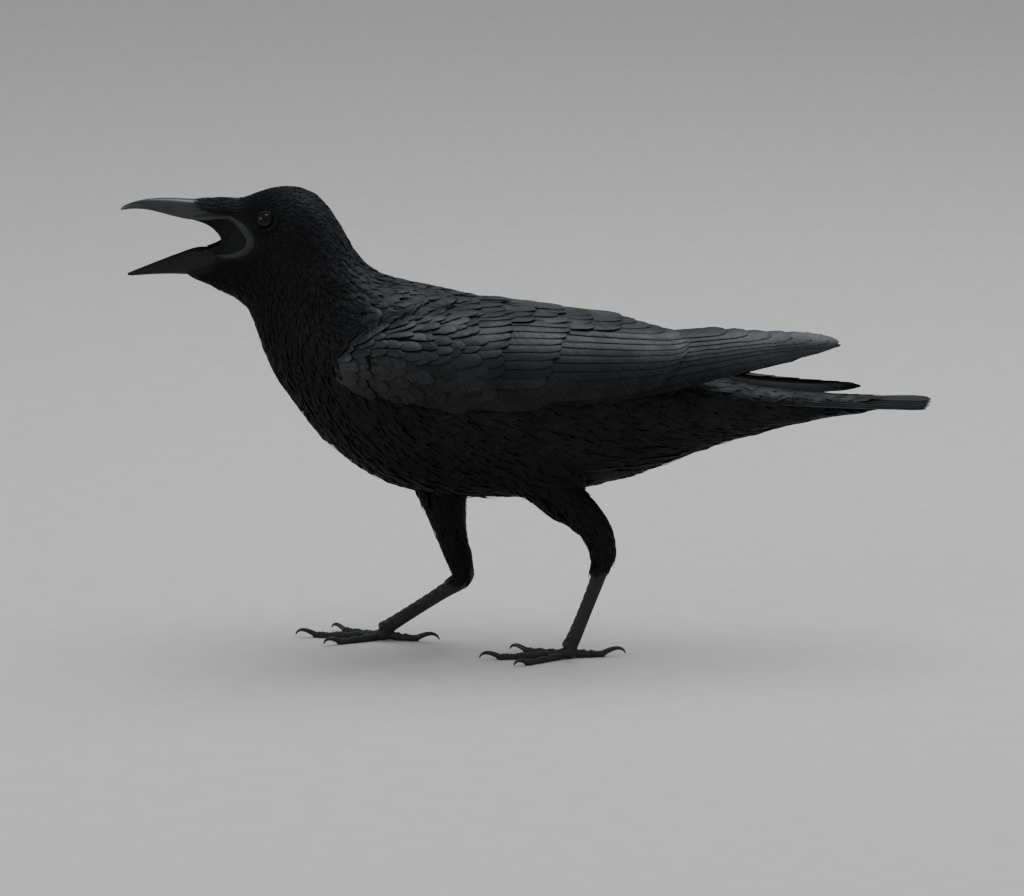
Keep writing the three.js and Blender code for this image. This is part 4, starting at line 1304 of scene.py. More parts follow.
def wing_feathers(tip_x, rng):
    """The feather groups of one folded wing, lowest layer first, with rows and columns of points."""
    wing = settings().wing
    reach = tip_x - LEFT_WING[-1][0]
    tips = [126, 138, 150, 162, 173, 182, 188, 189, 184, 172]
    ends = [0.10, 0.14, 0.2, 0.26, 0.32, 0.38, 0.46, 0.60, 0.74, 0.84]
    ladder = np.linspace(0, 1, 10)
    primaries = []
    for k in steps_between(wing.primaries):
        x, v = np.interp(k, ladder, tips), np.interp(k, ladder, ends)
        primaries.append(feather((30, 0.40 + 0.52 * k), (x + reach * k, v), 8.5, 3.2 + 0.8 * k,
                                 0.9 + 1.5 * k, 0.1 + 0.9 * k, 0.9, 0.02, 0.10, 0.008, 0.75))
    secondaries = []
    for k in steps_between(wing.secondaries):
        end = (104 - 12 * k + 6 * math.sin(3 * k) + rng.normal(0, 0.8), 0.20 + 0.64 * k)
        secondaries.append(feather((-8 - 4 * k, 0.26 + 0.62 * k), end, 9.5, 4.4, 1.5 + 0.7 * k,
                                   0.1 + 0.4 * k, 0.88, 0.02, 0.10, 0.009, 0.85))
    guards = [feather((-40 + 5 * k, 0.78 + 0.15 * k), (46 - 22 * k, 0.84 + 0.12 * k), 5, 2.9, 1.6,
                      0.25 + 0.3 * k, 0.75, gloss=0.85) for k in steps_between(7)]
    tertials = [feather((-4, 0.05 + 0.19 * k), (76 + 24 * k, -0.03 + 0.21 * k), 11, 6.5, 1.0 + 0.4 * k,
                        -0.15 + 0.2 * k, 0.76, -0.01, 0.07, 0.008, 0.9)
                for k in steps_between(wing.tertials)]
    greater = [feather((-26 + 2 * k, 0.15 + 0.70 * k), (42 - 16 * k + rng.normal(0, 1), 0.13 + 0.73 * k),
                       7.5, 4.2, 1.8, -0.1, 0.76, gloss=0.95) for k in steps_between(11)]
    alula = [feather((-70 + 5 * k, 0.82 + 0.10 * k), (-2 - 24 * k, 0.87 + 0.09 * k), 5, 2.6, 1.0, -0.1,
                     gloss=0.8) for k in steps_between(3)]
    median = [feather((-36, 0.11 + 0.74 * k), (10 - 10 * k + rng.normal(0, 1), 0.09 + 0.78 * k),
                      7, 4.4, 1.4, -0.3, 0.68) for k in steps_between(11)]
    small = []
    for row, tip in enumerate(np.linspace(-8, -77, 9)):
        count = 10 - row // 4
        for i in range(count):
            k = (i + 0.5 * (row % 2)) / count
            size = float(np.interp(tip, [-77, -8], [4.0, 5.6])) * rng.normal(1, 0.10)
            slant = 0.07 * math.sin(math.pi * min(k * 1.2, 1)) * float(np.interp(tip, [-60, -10], [1, 0.2]))
            small.append(feather((max(tip - 4.0 * size, -92), 0.03 + 0.95 * k - slant + rng.normal(0, 0.014)),
                                 (tip + rng.normal(0, 2.4), 0.03 + 0.96 * k + slant + rng.normal(0, 0.02)),
                                 size, size * 0.78, 1.2, -0.5 + rng.normal(0, 0.25), 0.52, 0.0,
                                 0.10 + rng.normal(0, 0.035), 0.016))
    scapulars = []
    for row, tip in enumerate(np.linspace(68, -62, 9)):
        for i in range(4):
            k = (i + 0.5 * (row % 2)) / 4
            size = float(np.interp(tip, [-62, 68], [5.0, 8.6]))
            v = -0.10 + (0.36 if tip < 0 else 0.30) * k
            scapulars.append(feather((tip - 4.2 * size, v - 0.02), (tip + rng.normal(0, 2), v + 0.012),
                                     size, size * 0.82, 1.2, -0.75 + 0.25 * k + rng.normal(0, 0.08), 0.6,
                                     0.0, 0.08 + rng.normal(0, 0.02), 0.010))
    return [(primaries, 22, 7), (secondaries, 18, 7), (guards, 12, 5), (tertials[::-1], 16, 7),
            (greater, 12, 7), (alula, 10, 5), (median, 10, 7), (small, 8, 7), (scapulars, 9, 7)]


class CROW_OT_wings(bpy.types.Operator):
    """Lays coverts, tertials, secondaries and primaries over each folded wing"""
    bl_idname = "crow.wings"
    bl_label = "Wings"

    def execute(self, context):
        material = feather_material("Crow flight feathers", True)
        BUILT["stiff"] = material
        for label, stations, side in WINGS:
            rng = np.random.default_rng(SEED + (side > 0))
            wing = Wing(stations, side)

            def surface(x, v, offset, height):
                v = v + offset / np.maximum(wing.width(x), 3.0)
                return wing.at(x, v, height)

            groups = wing_feathers(stations[-1][0], rng)
            cells = math.ceil(math.sqrt(sum(len(g[0]) for g in groups)))
            batches, first = [], 0
            for group, rows, cols in groups:
                batches.append(long_feathers(surface, group, rows, cols, rng, cells, first))
                first += len(group)
            piece = vane_piece("wing_feathers_" + label, batches, BLADE_PATCH / cells)
            finish(piece, material, "flight_feather", "wing_" + label)
            print(piece.name, first, "feathers", len(piece.data.polygons) * 2, "triangles")
        return {"FINISHED"}


class CROW_OT_tail(bpy.types.Operator):
    """Fans the tail feathers, the middle pair on top"""
    bl_idname = "crow.tail"
    bl_label = "Tail"

    def execute(self, context):
        rng = np.random.default_rng(SEED + 2)
        feathers = []
        for k in reversed(range(settings().wing.rectrices)):
            for side in (-1, 1):
                shift = 0.25 * side if k == 0 else 0.0
                start = (120, side * (1.0 + k * 1.2))
                end = (240.2 - 0.13 * k**2 + shift, side * (2.4 + k * 3.2))
                webs = (8.0, 3.4) if side > 0 else (3.4, 8.0)
                feathers.append(feather(start, end, *webs, 0.2 + 0.26 * k, -0.25 + 0.22 * k, 0.93,
                                        side * 0.12 * k, side * 0.07, 0.008, 0.85, 0.15))

        def surface(x, y, offset, height):
            return tail_at(x, y + offset, height)

        cells = 4
        batch = long_feathers(surface, feathers, 24, 9, rng, cells, 0)
        piece = vane_piece("tail_feathers", [batch], BLADE_PATCH / cells)
        finish(piece, BUILT["stiff"], "flight_feather", "tail")
        return {"FINISHED"}


# ------------------------------------------------------------------ bill, mouth, eyes

def bill_rings(rows, hollow, count, arc):
    """Rings of half a bill: the outer arch, and the inside hollowed to a share of its height."""
    rings = []
    for x, ridge, edge, half in steps(rows, count):
        height = ridge - edge
        turn = np.linspace(0, np.pi, arc + 1)
        y = np.sign(np.cos(turn)) * np.abs(np.cos(turn)) ** 0.8 * half
        z = edge + np.sin(turn) ** 1.02 * height
        inner = np.linspace(-0.86, 0.86, 11)
        depth = hollow * height * (1 - (inner / 0.9) ** 2).clip(0) ** 0.7
        depth -= 0.10 * height * np.exp(-(inner / 0.12) ** 2)
        under = np.stack([np.full(11, x), inner * half, edge + depth], -1)
        outer = np.stack([np.full(arc + 1, x), y, z], -1)
        rings.append(np.concatenate([outer, under]))
    return np.array(rings)


class CROW_OT_bill(bpy.types.Operator):
    """Shapes the two halves of the bill"""
    bl_idname = "crow.bill"
    bl_label = "Bill"

    def execute(self, context):
        # The upper bill gets pale blotches, partly as a painted sheen on its top. The lower bill gets none
        # and stays darker, partly as painted shade.
        upper = horn_material("Crow upper bill horn", 0.95, 0.8)
        lower = horn_material("Crow lower bill horn", 0.0, 0.24)
        for name, rows, hollow, horn in (("bill_upper", UPPER_BILL, 0.3, upper),
                                         ("bill_lower", LOWER_BILL, 0.42, lower)):
            rows = np.array(rows, float)
            rows[:, 3] *= np.interp(rows[:, 0], [-160, -146], [1, 0.84])
            if name == "bill_upper":
                rows[:, 2] += np.interp(rows[:, 0], [-166, -150], [0, 2.6])
            rings = bill_rings(rows, hollow, 70, 36)
            BUILT[name] = solid_piece(name + "_horn", loft(rings), horn, "horn", name, crease=55)
        return {"FINISHED"}


# The bare rim at the corner of the mouth, from the upper bill round to the lower: x, z, half width.
RIM = [[-170, 248.6, 0.8], [-162, 249.2, 1.2], [-153, 248.9, 1.5], [-148.4, 247.2, 1.6],
       [-143.9, 244.0, 1.8], [-140.2, 240.2, 2.1], [-138.2, 236.6, 2.4], [-139.0, 233.0, 2.3],
       [-142.0, 230.2, 2.1], [-146.5, 228.2, 1.9], [-152, 227.0, 1.7], [-158, 226.6, 1.4]]
# The free edge of the skin stretched between the bills: x, z, y.
FREE_EDGE = [[-170.5, 246.5, 6.3], [-165, 244.9, 6.9], [-160.5, 242.6, 7.3], [-157.2, 239.6, 7.7],
             [-155.4, 237, 8.0], [-154.9, 234.7, 8.1], [-155.6, 233.0, 8.1], [-158, 231.6, 7.8],
             [-160.5, 230.6, 7.6], [-163.5, 229.6, 7.3]]


def tree_of(*pieces):
    """A search tree over pieces, in drawn millimetres."""
    points, polys, start = [], [], 0
    for piece in pieces:
        points.append(drawn(mesh_points(piece.data)))
        polys += [tuple(start + v for v in p.vertices) for p in piece.data.polygons]
        start += len(points[-1])
    return BVHTree.FromPolygons([Vector(p) for p in np.concatenate(points)], polys)


def rim_line(tree, path, side):
    """The middle of the mouth's rim on one side, laid on the head and smoothed, with the
    directions across the rim and outwards."""
    centre, out = [], []
    for x, z, _ in path:
        hit, normal, _, _ = tree.ray_cast(Vector((x, side * 60, z)), Vector((0, -side, 0)))
        centre.append(hit)
        out.append(normal)
    centre, out = np.array(centre), np.array(out)
    for _ in range(10):
        least = side * centre[:, 1]
        centre[1:-1, 1] = (centre[:-2, 1] + centre[2:, 1]) / 2
        centre[:, 1] = side * np.maximum(side * centre[:, 1], least - 0.02)
        out[1:-1] = unit(out[:-2] + out[2:])
    along = unit(np.gradient(centre, axis=0))
    wide = unit(np.cross(along, out))
    out = np.cross(wide, along)
    return centre, wide, np.where(out[:, 1:2] * side < 0, -out, out)


def cheek_sheet(edge, centre, out, side):
    """The folded skin from its free edge to the mouth's rim, with an inner face."""
    s = np.linspace(0, 1, 15)[None, :, None]
    outer = edge[:, None] * np.array([1, side, 1]) * (1 - s) + (centre - out * 0.3)[:, None] * s
    fold = 0.18 * np.sin(s[..., 0] * 5 * np.pi) * np.sin(np.pi * s[..., 0])
    outer[..., 1] -= side * (np.sin(np.pi * s[..., 0]) * 0.4 - fold)
    inner = outer.copy()
    inner[..., 1] -= side * (0.8 + 1.2 * s[..., 0])
    return loft(np.concatenate([outer, inner[:, ::-1]], 1))


def tongue_flesh():
    """The tongue, with a groove down its back."""
    path = steps(TONGUE, 30)
    turn = circle(24)
    groove = 0.35 * np.exp(-(np.sin(turn) / 0.25) ** 2) * (np.cos(turn) > 0)
    return loft(np.stack([
        np.repeat(path[:, 0:1], 24, 1),
        np.sin(turn) * path[:, 2:3],
        path[:, 1:2] + (np.cos(turn) - groove) * path[:, 3:4] / 2,
    ], -1))


class CROW_OT_mouth(bpy.types.Operator):
    """Lays the bare rim round the corners of the open mouth and the tongue inside it"""
    bl_idname = "crow.mouth"
    bl_label = "Mouth"

    def execute(self, context):
        colours = settings().colours
        rim_skin = soft_material("Crow mouth rim", colours.gape, 0.45, 620.0,
                                 (0.010, 0.0097, 0.0099), 0.3, 0.7)
        lining = soft_material("Crow cheek skin", (0.0028, 0.0027, 0.0028), 0.62, 520.0,
                               (0.0042, 0.0040, 0.0041), 0.16)
        tongue = soft_material("Crow tongue", colours.mouth, 0.28, 700.0, (0.03, 0.018, 0.019))
        tree = tree_of(BUILT["skin"], BUILT["bill_upper"], BUILT["bill_lower"])
        count = 56
        path = steps(RIM, count)
        edge = steps(FREE_EDGE, count)[:, [0, 2, 1]]
        taper = np.sin(np.linspace(0.1, np.pi - 0.1, count + 1)) ** 0.4
        swell = (1 + 0.14 * np.sin(np.linspace(0, 33, count + 1))
                 + 0.12 * np.sin(np.linspace(0, 71, count + 1)))
        rims, sheets = [], []
        for side in (-1, 1):
            centre, wide, out = rim_line(tree, path, side)
            rings = ovals(centre, circle(18), wide, path[:, 2] * taper, out, 0.5 * taper * swell)
            rims.append(loft(rings))
            sheets.append(cheek_sheet(edge, centre, out, side))
        solid_piece("mouth_rim", joined(rims), rim_skin, "mouth")
        solid_piece("cheek_skin", joined(sheets), lining, "mouth")
        solid_piece("tongue_flesh", tongue_flesh(), tongue, "mouth", "tongue")
        return {"FINISHED"}


def eye_frame(side):
    """The eye's outward axis and two directions across it."""
    axis = unit(np.array([-0.20, side * 1.0, 0.04]))
    level = unit(np.cross(axis, [0, 0, 1]))
    return axis, level, np.cross(level, axis)


def ball_ways(tilt, about, axis, level, up):
    """Directions over a ball, by tilt from its axis and by turn about it."""
    return (
        axis * np.cos(tilt)[:, None, None]
        + level * (np.sin(tilt)[:, None] * np.cos(about))[..., None]
        + up * (np.sin(tilt)[:, None] * np.sin(about))[..., None]
    )


def eyeball(centre, side):
    """An eyeball that bulges at the front, and for each point how far it is from the axis, over
    the ball, and a number that changes round it."""
    axes = eye_frame(side)
    tilt = np.linspace(0, np.pi, 49)[1:-1]
    about = circle(64)
    bulge = EYE_BULGE * np.exp(-((tilt / 0.62) ** 4))
    way = ball_ways(tilt, about, *axes)
    points, faces = loft(centre + way * (EYE_RADIUS + bulge)[:, None, None])
    points[-2] = centre + axes[0] * (EYE_RADIUS + EYE_BULGE)
    points[-1] = centre - axes[0] * EYE_RADIUS
    ring = np.append(np.repeat(tilt * EYE_RADIUS, 64), [0.0, np.pi * EYE_RADIUS])
    turn = np.append(np.tile(about / (2 * np.pi), len(tilt)), [0.0, 0.0])
    around = np.cos(turn * 2 * np.pi) * 0.5 + np.sin(turn * 4 * np.pi) * 0.31
    return (points, faces), np.stack([ring, around], -1)


def eyelid(centre, side, width):
    """A soft almond ring on the eyeball that sinks under the feathers outside."""
    out = np.array([0.0, side, 0.0])
    fore = np.array([1.0, 0.0, 0.0])
    rise = np.array([0.0, 0.0, 1.0])
    about = circle(72)
    wave = 1 + 0.05 * np.cos(2 * about) + 0.035 * np.cos(about)
    # reach from the eye's middle and height over the ball, from the opening outwards and back
    rows = [(4.55, 0.20), (4.62, 0.62), (4.95, 0.82), (5.35, 0.72), (5.35 + width * 0.5, 0.38),
            (5.4 + width, -0.2), (5.3 + width, -1.5), (4.7, -1.2)]
    rings = []
    for reach, high in rows:
        flat = fore * (np.cos(about) * reach * wave)[:, None]
        flat = flat + rise * (np.sin(about) * reach * 0.97 * wave)[:, None]
        distance = np.minimum(np.linalg.norm(flat, axis=1), EYE_RADIUS * 0.97)
        above = np.sqrt(EYE_RADIUS**2 - distance**2) + high - 0.35
        rings.append(centre + flat + out * above[:, None])
    points = np.concatenate(rings)
    faces = loft_faces(len(rows) + 1, len(about), capped=False)
    faces = [np.where(f >= len(points), f - len(points), f) for f in faces]
    return points, outward(points, faces)


class CROW_OT_eyes(bpy.types.Operator):
    """Sets the eyes and their bare lids"""
    bl_idname = "crow.eyes"
    bl_label = "Eyes"

    def execute(self, context):
        glass = eye_material()
        lid = soft_material("Crow eyelid", (0.0038, 0.0037, 0.0039), 0.6, 900.0,
                            (0.006, 0.0057, 0.006), 0.14)
        for label, side in (("left", -1), ("right", 1)):
            centre = (EYE_AT - [0, EYE_SINK, 0]) * [1, side, 1]
            ball, pairs = eyeball(centre, side)
            piece = solid_piece("eyeball_" + label, ball, glass, "eye", "eye_" + label)
            add_uv(piece.data, "Eye", pairs)
            solid_piece("eyelid_" + label, eyelid(centre, side, settings().head.lid / MM), lid, "leg_skin")
        return {"FINISHED"}


# ------------------------------------------------------------------ repeated small pieces

def named_input(tree, name, kind, value):
    socket = tree.interface.new_socket(name, in_out="INPUT", socket_type=kind)
    if value is not None:
        socket.default_value = value
    return socket


class Nodes(Maker):
    """A Geometry Nodes tree under construction, with its group input and output."""

    def __init__(self, name, inputs):
        self.tree = bpy.data.node_groups.new(name, "GeometryNodeTree")
        self.sockets = {"Geometry": named_input(self.tree, "Geometry", "NodeSocketGeometry", None)}
        for key, (kind, value) in inputs.items():
            self.sockets[key] = named_input(self.tree, key, kind, value)
        self.tree.interface.new_socket("Geometry", in_out="OUTPUT", socket_type="NodeSocketGeometry")
        outputs = self.tree.nodes.new("NodeGroupInput").outputs
        self.given = {key: Value(self, outputs[key]) for key in self.sockets}
        self.result = self.tree.nodes.new("NodeGroupOutput").inputs[0]

    def attribute(self, name, kind):
        return self.node("GeometryNodeInputNamedAttribute", {"data_type": kind}, {"Name": name}, "Attribute")

    def close(self, instance, scale):
        """Stands an instance on each point, with its own turn, and ends the tree."""
        spread = self.node("GeometryNodeInstanceOnPoints", None, {
            "Points": self.given["Geometry"], "Instance": instance,
            "Rotation": self.attribute("turn", "QUATERNION"), "Scale": scale})
        real = self.node("GeometryNodeRealizeInstances", None, {"Geometry": spread})
        painted = self.node("GeometryNodeSetMaterial", None,
                            {"Geometry": real, "Material": self.given["Material"]})
        self.tree.links.new(painted.socket, self.result)
        return self.tree, self.sockets


def spread_by_nodes(name, grown, stands, inputs):
    """The instances of a node tree as plain mesh, one for each stand: its place in drawn
    millimetres, the directions of its length and its top, and its size in metres."""
    tree, sockets = grown
    places, ways, ups, sizes = (np.array(column) for column in zip(*stands))
    mesh = bpy.data.meshes.new(name)
    mesh.vertices.add(len(places))
    mesh.vertices.foreach_set("co", placed(places).astype(np.float32).ravel())
    turn = mesh.attributes.new("turn", "QUATERNION", "POINT")
    turn.data.foreach_set("value", np.asarray(turns_from(ways, ups), np.float32).ravel())
    size = mesh.attributes.new("size", "FLOAT_VECTOR", "POINT")
    size.data.foreach_set("vector", sizes.astype(np.float32).ravel())
    piece = bpy.data.objects.new(name, mesh)
    bpy.context.scene.collection.objects.link(piece)
    grow = piece.modifiers.new("Spread", "NODES")
    grow.node_group = tree
    for key, value in inputs.items():
        grow[sockets[key].identifier] = value
    evaluated(piece)
    for layer in ("turn", "size"):
        if layer in piece.data.attributes:
            piece.data.attributes.remove(piece.data.attributes[layer])
    if not len(piece.data.polygons):
        raise RuntimeError(name + " came out empty")
    piece.data.shade_smooth()
    return piece


def turns_from(forward, up):
    """Quaternions that turn +x to forward and +z to up, for rows of unit vectors."""
    out = []
    for f, u in zip(unit(forward), up):
        side = unit(np.cross(u, f))
        upright = np.cross(f, side)
        matrix = Matrix((f, side, upright)).transposed()
        out.append(tuple(matrix.to_quaternion()))
    return out


# Points round a bristle, and rings along it less one.
BRISTLE_SIDES = 5
BRISTLE_STEPS = 6


def bristle_tree():
    """Tapered, slightly bent bristles on points."""
    nodes = Nodes("Crow bristles", {
        "Thickness": ("NodeSocketFloat", 0.0003),
        "Bend": ("NodeSocketFloat", 0.2),
        "Material": ("NodeSocketMaterial", None),
    })
    bend = nodes.vector(0.5, 0.0, nodes.given["Bend"])
    line = nodes.node("GeometryNodeCurveQuadraticBezier", None,
                      {"Resolution": BRISTLE_STEPS, "Start": (0, 0, 0), "Middle": bend, "End": (1, 0, 0)})
    along = nodes.node("GeometryNodeSplineParameter", None, None, "Factor")
    thin = (1.05 - along) ** 0.6
    line = nodes.node("GeometryNodeSetCurveRadius", None, {"Curve": line, "Radius": thin})
    section = nodes.node("GeometryNodeCurvePrimitiveCircle", {"mode": "RADIUS"},
                         {"Resolution": BRISTLE_SIDES, "Radius": 0.5})
    tube = nodes.node("GeometryNodeCurveToMesh", None,
                      {"Curve": line, "Profile Curve": section, "Scale": thin, "Fill Caps": True})
    reach = nodes.parts(nodes.attribute("size", "FLOAT_VECTOR"))[0]
    thick = nodes.given["Thickness"]
    return nodes.close(tube, nodes.vector(reach, thick, thick))


def scute_tree():
    """Low rounded plates on points."""
    nodes = Nodes("Crow scutes", {
        "Relief": ("NodeSocketFloat", 1.0),
        "Roundness": ("NodeSocketFloat", 0.4),
        "Material": ("NodeSocketMaterial", None),
    })
    ball = nodes.node("GeometryNodeMeshUVSphere", None, {"Segments": 20, "Rings": 11, "Radius": 1.0})
    x, y, z = nodes.parts(nodes.node("GeometryNodeInputPosition"))
    square = nodes.vector(x.sign() * x.size() ** nodes.given["Roundness"], y, z)
    plate = nodes.node("GeometryNodeSetPosition", None, {"Geometry": ball, "Position": square})
    long, wide, high = nodes.parts(nodes.attribute("size", "FLOAT_VECTOR"))
    return nodes.close(plate, nodes.vector(long, wide, high * nodes.given["Relief"]))


class CROW_OT_bristles(bpy.types.Operator):
    """Covers the root of the upper bill with forward bristles"""
    bl_idname = "crow.bristles"
    bl_label = "Bristles"

    def execute(self, context):
        head = settings().head
        rng = np.random.default_rng(SEED + 3)
        rings = straight_rings(NASAL_TUFT, 40, 64)
        stands, roots = [], []
        for _ in range(head.bristles * 2):
            i = int(rng.integers(6, 36))
            j = rng.normal(0, 9)
            roots.append((i / 40, (j / 64 + 0.5) % 0.99))
            spot = rings[i, int(round(j)) % 64]
            up = unit(spot - rings[i].mean(axis=0))
            reach = np.interp(-spot[0], [138, 150, 166], [14, 11, 5]) * rng.normal(1, 0.12)
            way = [-1.0, -0.10 * spot[1] / 9 + rng.normal(0, 0.05), rng.normal(-0.02, 0.05)]
            size = (np.clip(reach, 5, 20) * MM, 1, 1)
            stands.append((spot - up * 0.55, unit(np.array(way)), up, size))
        material = plain_dark("Crow bristles", (0.006, 0.006, 0.0066), 0.45)
        piece = spread_by_nodes(
            "nasal_bristles", bristle_tree(), stands,
            {"Thickness": head.bristle_thickness, "Bend": 0.10, "Material": material})
        mesh = piece.data
        ring, around = np.divmod(np.arange(len(mesh.vertices) // len(stands)), BRISTLE_SIDES)
        local = np.stack([around / (BRISTLE_SIDES - 1), ring / BRISTLE_STEPS], -1) * COAT_PATCH
        for layer in list(mesh.uv_layers):
            mesh.uv_layers.remove(layer)
        add_uv(mesh, "OFBake", (np.array(roots)[:, None] + local[None]).reshape(-1, 2))
        finish(piece, None, "feather")
        return {"FINISHED"}


# ------------------------------------------------------------------ legs

# Steps of a toe's and a shank's centre line, and a plate's half length as a share of their spacing.
LEG_STEPS = 60
PLATE_SHARE = 0.56


def toe_heading(leg, angle):
    """The level direction of a toe, from its angle outwards from straight ahead."""
    turn = math.radians(math.copysign(1, leg["side"]) * angle + leg["toeing"])
    return np.array([-math.cos(turn), math.sin(turn), 0.0])


def toe_root(leg):
    """The place on the floor under the end of a shank."""
    return np.array([leg["shank"][-1][0], leg["side"], 0.0])


def tube_rings(rows, around):
    """Oval rings along rows of x, y, z, half height and half width."""
    centre = rows[:, :3]
    along = unit(np.gradient(centre, axis=0))
    across = unit(np.cross(along, np.broadcast_to([0, 0, 1], along.shape)))
    return ovals(centre, circle(around), np.cross(across, along), rows[:, 3], across, rows[:, 4])


def toe_rows(root, heading, length, radius):
    """Centre line and radii of a toe with its knuckles and pads."""
    rows = []
    for i in range(9):
        t = i / 8
        r = radius * (1.0 if i % 2 else 0.86) * (1 - 0.28 * t)
        drop = math.exp(-t * length * 0.22)
        rows.append([root[0] + heading[0] * length * t, root[1] + heading[1] * length * t,
                     r - SOLE_CUT + drop * 1.8, r, r * 0.95])
    rows = steps(rows, LEG_STEPS)
    left = length * (1 - np.linspace(0, 1, LEG_STEPS + 1))
    rounding = np.sqrt(1 - np.clip(1 - left / (radius * 1.1), 0, 0.94) ** 2)
    rows[:, 3:] *= rounding[:, None]
    return rows


def foot_hub(root):
    """The rounded hub from which the toes spring."""
    tilt = np.linspace(0, np.pi, 14)[1:-1]
    way = ball_ways(tilt, circle(24), *np.array([[0, 0, 1], [1, 0, 0], [0, 1, 0]]))
    return loft(way * [4.6, 4.6, 3.6] + [root[0], root[1], 3.5])


def toe_plates(rows, heading, length):
    """Stands for the plates over a toe."""
    count = int(length / 2.0)
    stands = []
    for i in range(1, count):
        at = rows[int(i / count * LEG_STEPS)]
        size = (PLATE_SHARE * length / count * MM, at[4] * 0.86 * MM, at[3] * 0.66 * MM)
        stands.append((at[:3] + [0, 0, at[3] * 0.44], heading + [0, 0, -0.16], [0, 0, 1], size))
    return stands


def shank_plates(leg, count):
    """Stands for the plates down the front of a shank, evenly spaced along it."""
    rows = steps(leg["shank"], LEG_STEPS)
    centre = np.stack([rows[:, 0], np.full(len(rows), float(leg["side"])), rows[:, 1]], -1)
    along = unit(np.gradient(centre, axis=0))
    front = np.cross(np.array([0.0, 1.0, 0.0]), along)
    front = np.where(front[:, :1] > 0, -front, front)
    reach = np.r_[0, np.cumsum(np.linalg.norm(np.diff(centre, axis=0), axis=1))]
    evenly, gap = np.linspace(reach[10], reach[56], count, retstep=True)
    tables = [np.stack([np.interp(evenly, reach, column) for column in table.T], -1)
              for table in (centre, along, front, rows)]
    return [(middle + ahead * row[2] * 0.45, way + ahead * 0.05, ahead,
             (gap * PLATE_SHARE * MM, row[3] * 0.97 * MM, row[2] * 0.60 * MM))
            for middle, way, ahead, row in zip(*tables)]


class CROW_OT_legs(bpy.types.Operator):
    """Covers each shank and foot with scaly skin, plates and pads"""
    bl_idname = "crow.legs"
    bl_label = "Legs"

    def execute(self, context):
        sizes = settings().leg
        skin = scale_material("Crow leg skin", 950.0, 0.6)
        plate_skin = scale_material("Crow leg plates", 260.0, 0.25)
        grown = scute_tree()
        for label, leg in LEGS.items():
            root = toe_root(leg)
            solids = [loft(limb_rings(leg["shank"], leg["side"], 40, 28)), foot_hub(root)]
            stands = []
            for angle, length, _, radius in TOES.values():
                heading = toe_heading(leg, angle)
                rows = toe_rows(root, heading, length, radius)
                solids.append(loft(tube_rings(rows, 20)))
                stands += toe_plates(rows, heading, length)
            stands += shank_plates(leg, sizes.scutes)
            points, faces = joined(solids)
            points[:, 2] = np.maximum(points[:, 2], 0.0)
            piece = remeshed("leg_skin_" + label, placed(points), faces, sizes.voxel, 2)
            finish(piece, skin, "leg_skin", "shank_" + label, "foot_" + label,
                   *("toe_" + label + "_" + toe for toe in TOES))
            plates = spread_by_nodes("scutes_" + label, grown, stands,
                                     {"Relief": 1.0, "Roundness": 0.45, "Material": plate_skin})
            finish(plates, None, "leg_skin")
        return {"FINISHED"}


class CROW_OT_claws(bpy.types.Operator):
    """Curves the claws"""
    bl_idname = "crow.claws"
    bl_label = "Claws"

    def execute(self, context):
        horn = horn_material("Crow claw horn", 0.35)
        for label, leg in LEGS.items():
            root = toe_root(leg)
            solids, nodes = [], []
            for toe, (angle, length, claw, radius) in TOES.items():
                heading = toe_heading(leg, angle)
                base = radius * 0.62
                rows = []
                for i in range(7):
                    t = i / 6
                    reach = length - 2.2 + (claw + 1.0) * math.sin(t * 1.35) * 0.92
                    height = base + 0.1 + claw * 0.24 * math.sin(t * math.pi * 0.9) - (base - 0.4) * t * t
                    r = base * 0.86 * (1 - t) ** 0.8 + 0.28
                    rows.append([root[0] + heading[0] * reach, root[1] + heading[1] * reach,
                                 height, r, r * 0.85])
                rings = tube_rings(steps(rows, 30), 18)
                rings[..., 2] = np.maximum(rings[..., 2], 0.0)
                solids.append(loft(rings))
                nodes.append("claw_" + label + "_" + toe)
            solid_piece("claws_" + label, joined(solids), horn, "claw", *nodes)
        return {"FINISHED"}


# ------------------------------------------------------------------ stage

FLOOR_HALF = 8.0
FLOOR_CELLS = 24
# The view's plan: millimetres across one of its steps, and where the drawing frame's zero and the
# middle of the view stand in those steps, counted from the top left.
VIEW_STEP = 0.56
VIEW_ZERO = (500, 650)
VIEW_MIDDLE = (512, 448)


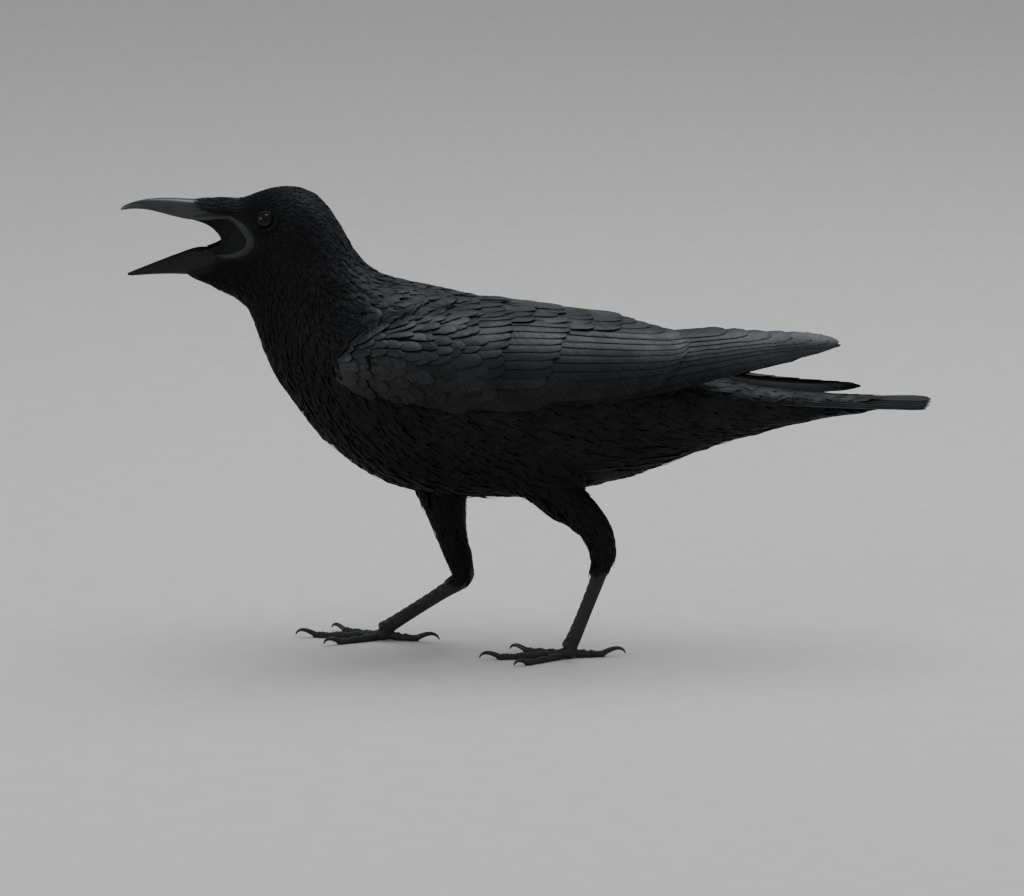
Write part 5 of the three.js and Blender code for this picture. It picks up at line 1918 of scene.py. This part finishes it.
class CROW_OT_stage(bpy.types.Operator):
    """Sets the pale floor, the soft lights and the camera"""
    bl_idname = "crow.stage"
    bl_label = "Stage"

    def execute(self, context):
        stage = settings().stage
        scene = context.scene
        floor_z = placed([0, 0, 0])[2]
        line = np.linspace(-FLOOR_HALF, FLOOR_HALF, FLOOR_CELLS + 1)
        gx, gy = np.meshgrid(line, line, indexing="ij")
        points = np.stack([gx, gy, np.full_like(gx, floor_z)], -1).reshape(-1, 3)
        i, j = np.meshgrid(np.arange(FLOOR_CELLS), np.arange(FLOOR_CELLS), indexing="ij")
        row = FLOOR_CELLS + 1
        k = (i * row + j).ravel()
        quads = np.stack([k, k + row, k + row + 1, k + 1], -1)
        floor = mesh_object("floor", points, [quads])
        shader = Shader("Studio floor", Specular_IOR_Level=0.3)
        grain = shader.noise(shader.place(), 60.0, 3.0, 0.6)
        shade = shader.mix(grain.ramp(0.35, 0.65), (0.66, 0.62, 0.575), (0.69, 0.65, 0.605))
        floor.data.materials.append(shader.feed(Base_Color=shade, Roughness=grain * 0.1 + 0.7))

        world = bpy.data.worlds.new("Studio") if scene.world is None else scene.world
        scene.world = world
        world.use_nodes = True
        sky = world.node_tree.nodes["Background"]
        sky.inputs["Color"].default_value = (0.88, 0.94, 1.0, 1.0)
        sky.inputs["Strength"].default_value = stage.sky

        for name, at, aim, power, wide in (
            ("Overhead", (0.4, 0.3, 1.85), (0.03, 0, 0.15), stage.overhead, 1.7),
            ("Bill side", (-1.7, -1.1, 0.9), (-0.1, 0, 0.18), stage.side, 1.1),
        ):
            light = bpy.data.lights.new(name, "AREA")
            light.shape, light.size, light.energy = "SQUARE", wide, power
            light.color = (0.90, 0.95, 1.0)
            lamp = bpy.data.objects.new(name, light)
            lamp.location = at
            lamp.rotation_euler = (Vector(aim) - Vector(at)).to_track_quat("-Z", "Y").to_euler()
            scene.collection.objects.link(lamp)

        ahead = (VIEW_MIDDLE[0] - VIEW_ZERO[0]) * VIEW_STEP
        high = (VIEW_ZERO[1] - VIEW_MIDDLE[1]) * VIEW_STEP / math.cos(stage.elevation)
        target = placed([ahead, 0.0, high])
        camera = bpy.data.cameras.new("Camera")
        camera.sensor_width = 36
        camera.lens = camera.sensor_width * stage.distance / stage.view_width
        camera.clip_end = 50
        eye = bpy.data.objects.new("Camera", camera)
        back = Vector((0, -math.cos(stage.elevation), math.sin(stage.elevation)))
        eye.location = Vector(target) + back * stage.distance
        eye.rotation_euler = (-back).to_track_quat("-Z", "Y").to_euler()
        scene.collection.objects.link(eye)
        scene.camera = eye
        return {"FINISHED"}


# ------------------------------------------------------------------ add-on

OPERATORS = (CROW_OT_stage, CROW_OT_skin, CROW_OT_coat, CROW_OT_wings, CROW_OT_tail, CROW_OT_bill,
             CROW_OT_mouth, CROW_OT_eyes, CROW_OT_bristles, CROW_OT_legs, CROW_OT_claws)
GROUPS = (CrowCoatSettings, CrowWingSettings, CrowHeadSettings, CrowLegSettings, CrowColours,
          CrowStageSettings, CrowSettings)


class VIEW3D_PT_crow(bpy.types.Panel):
    """Lists the crow's pieces and their settings"""
    bl_label = "Crow"
    bl_idname = "VIEW3D_PT_crow"
    bl_space_type = "VIEW_3D"
    bl_region_type = "UI"
    bl_category = "Crow"

    def draw(self, context):
        for operator in OPERATORS:
            self.layout.operator(operator.bl_idname)
        for name in ("coat", "wing", "head", "leg", "colours", "stage"):
            group = getattr(context.scene.crow, name)
            box = self.layout.box()
            for key in group.bl_rna.properties.keys():
                if key not in ("rna_type", "name"):
                    box.prop(group, key)


def register():
    for made in (*GROUPS, *OPERATORS, VIEW3D_PT_crow):
        bpy.utils.register_class(made)
    bpy.types.Scene.crow = PointerProperty(type=CrowSettings)


def unregister():
    del bpy.types.Scene.crow
    for made in reversed((*GROUPS, *OPERATORS, VIEW3D_PT_crow)):
        bpy.utils.unregister_class(made)


def main():
    register()
    for operator in OPERATORS:
        group, name = operator.bl_idname.split(".")
        getattr(getattr(bpy.ops, group), name)()


if __name__ == "__main__":
    main()
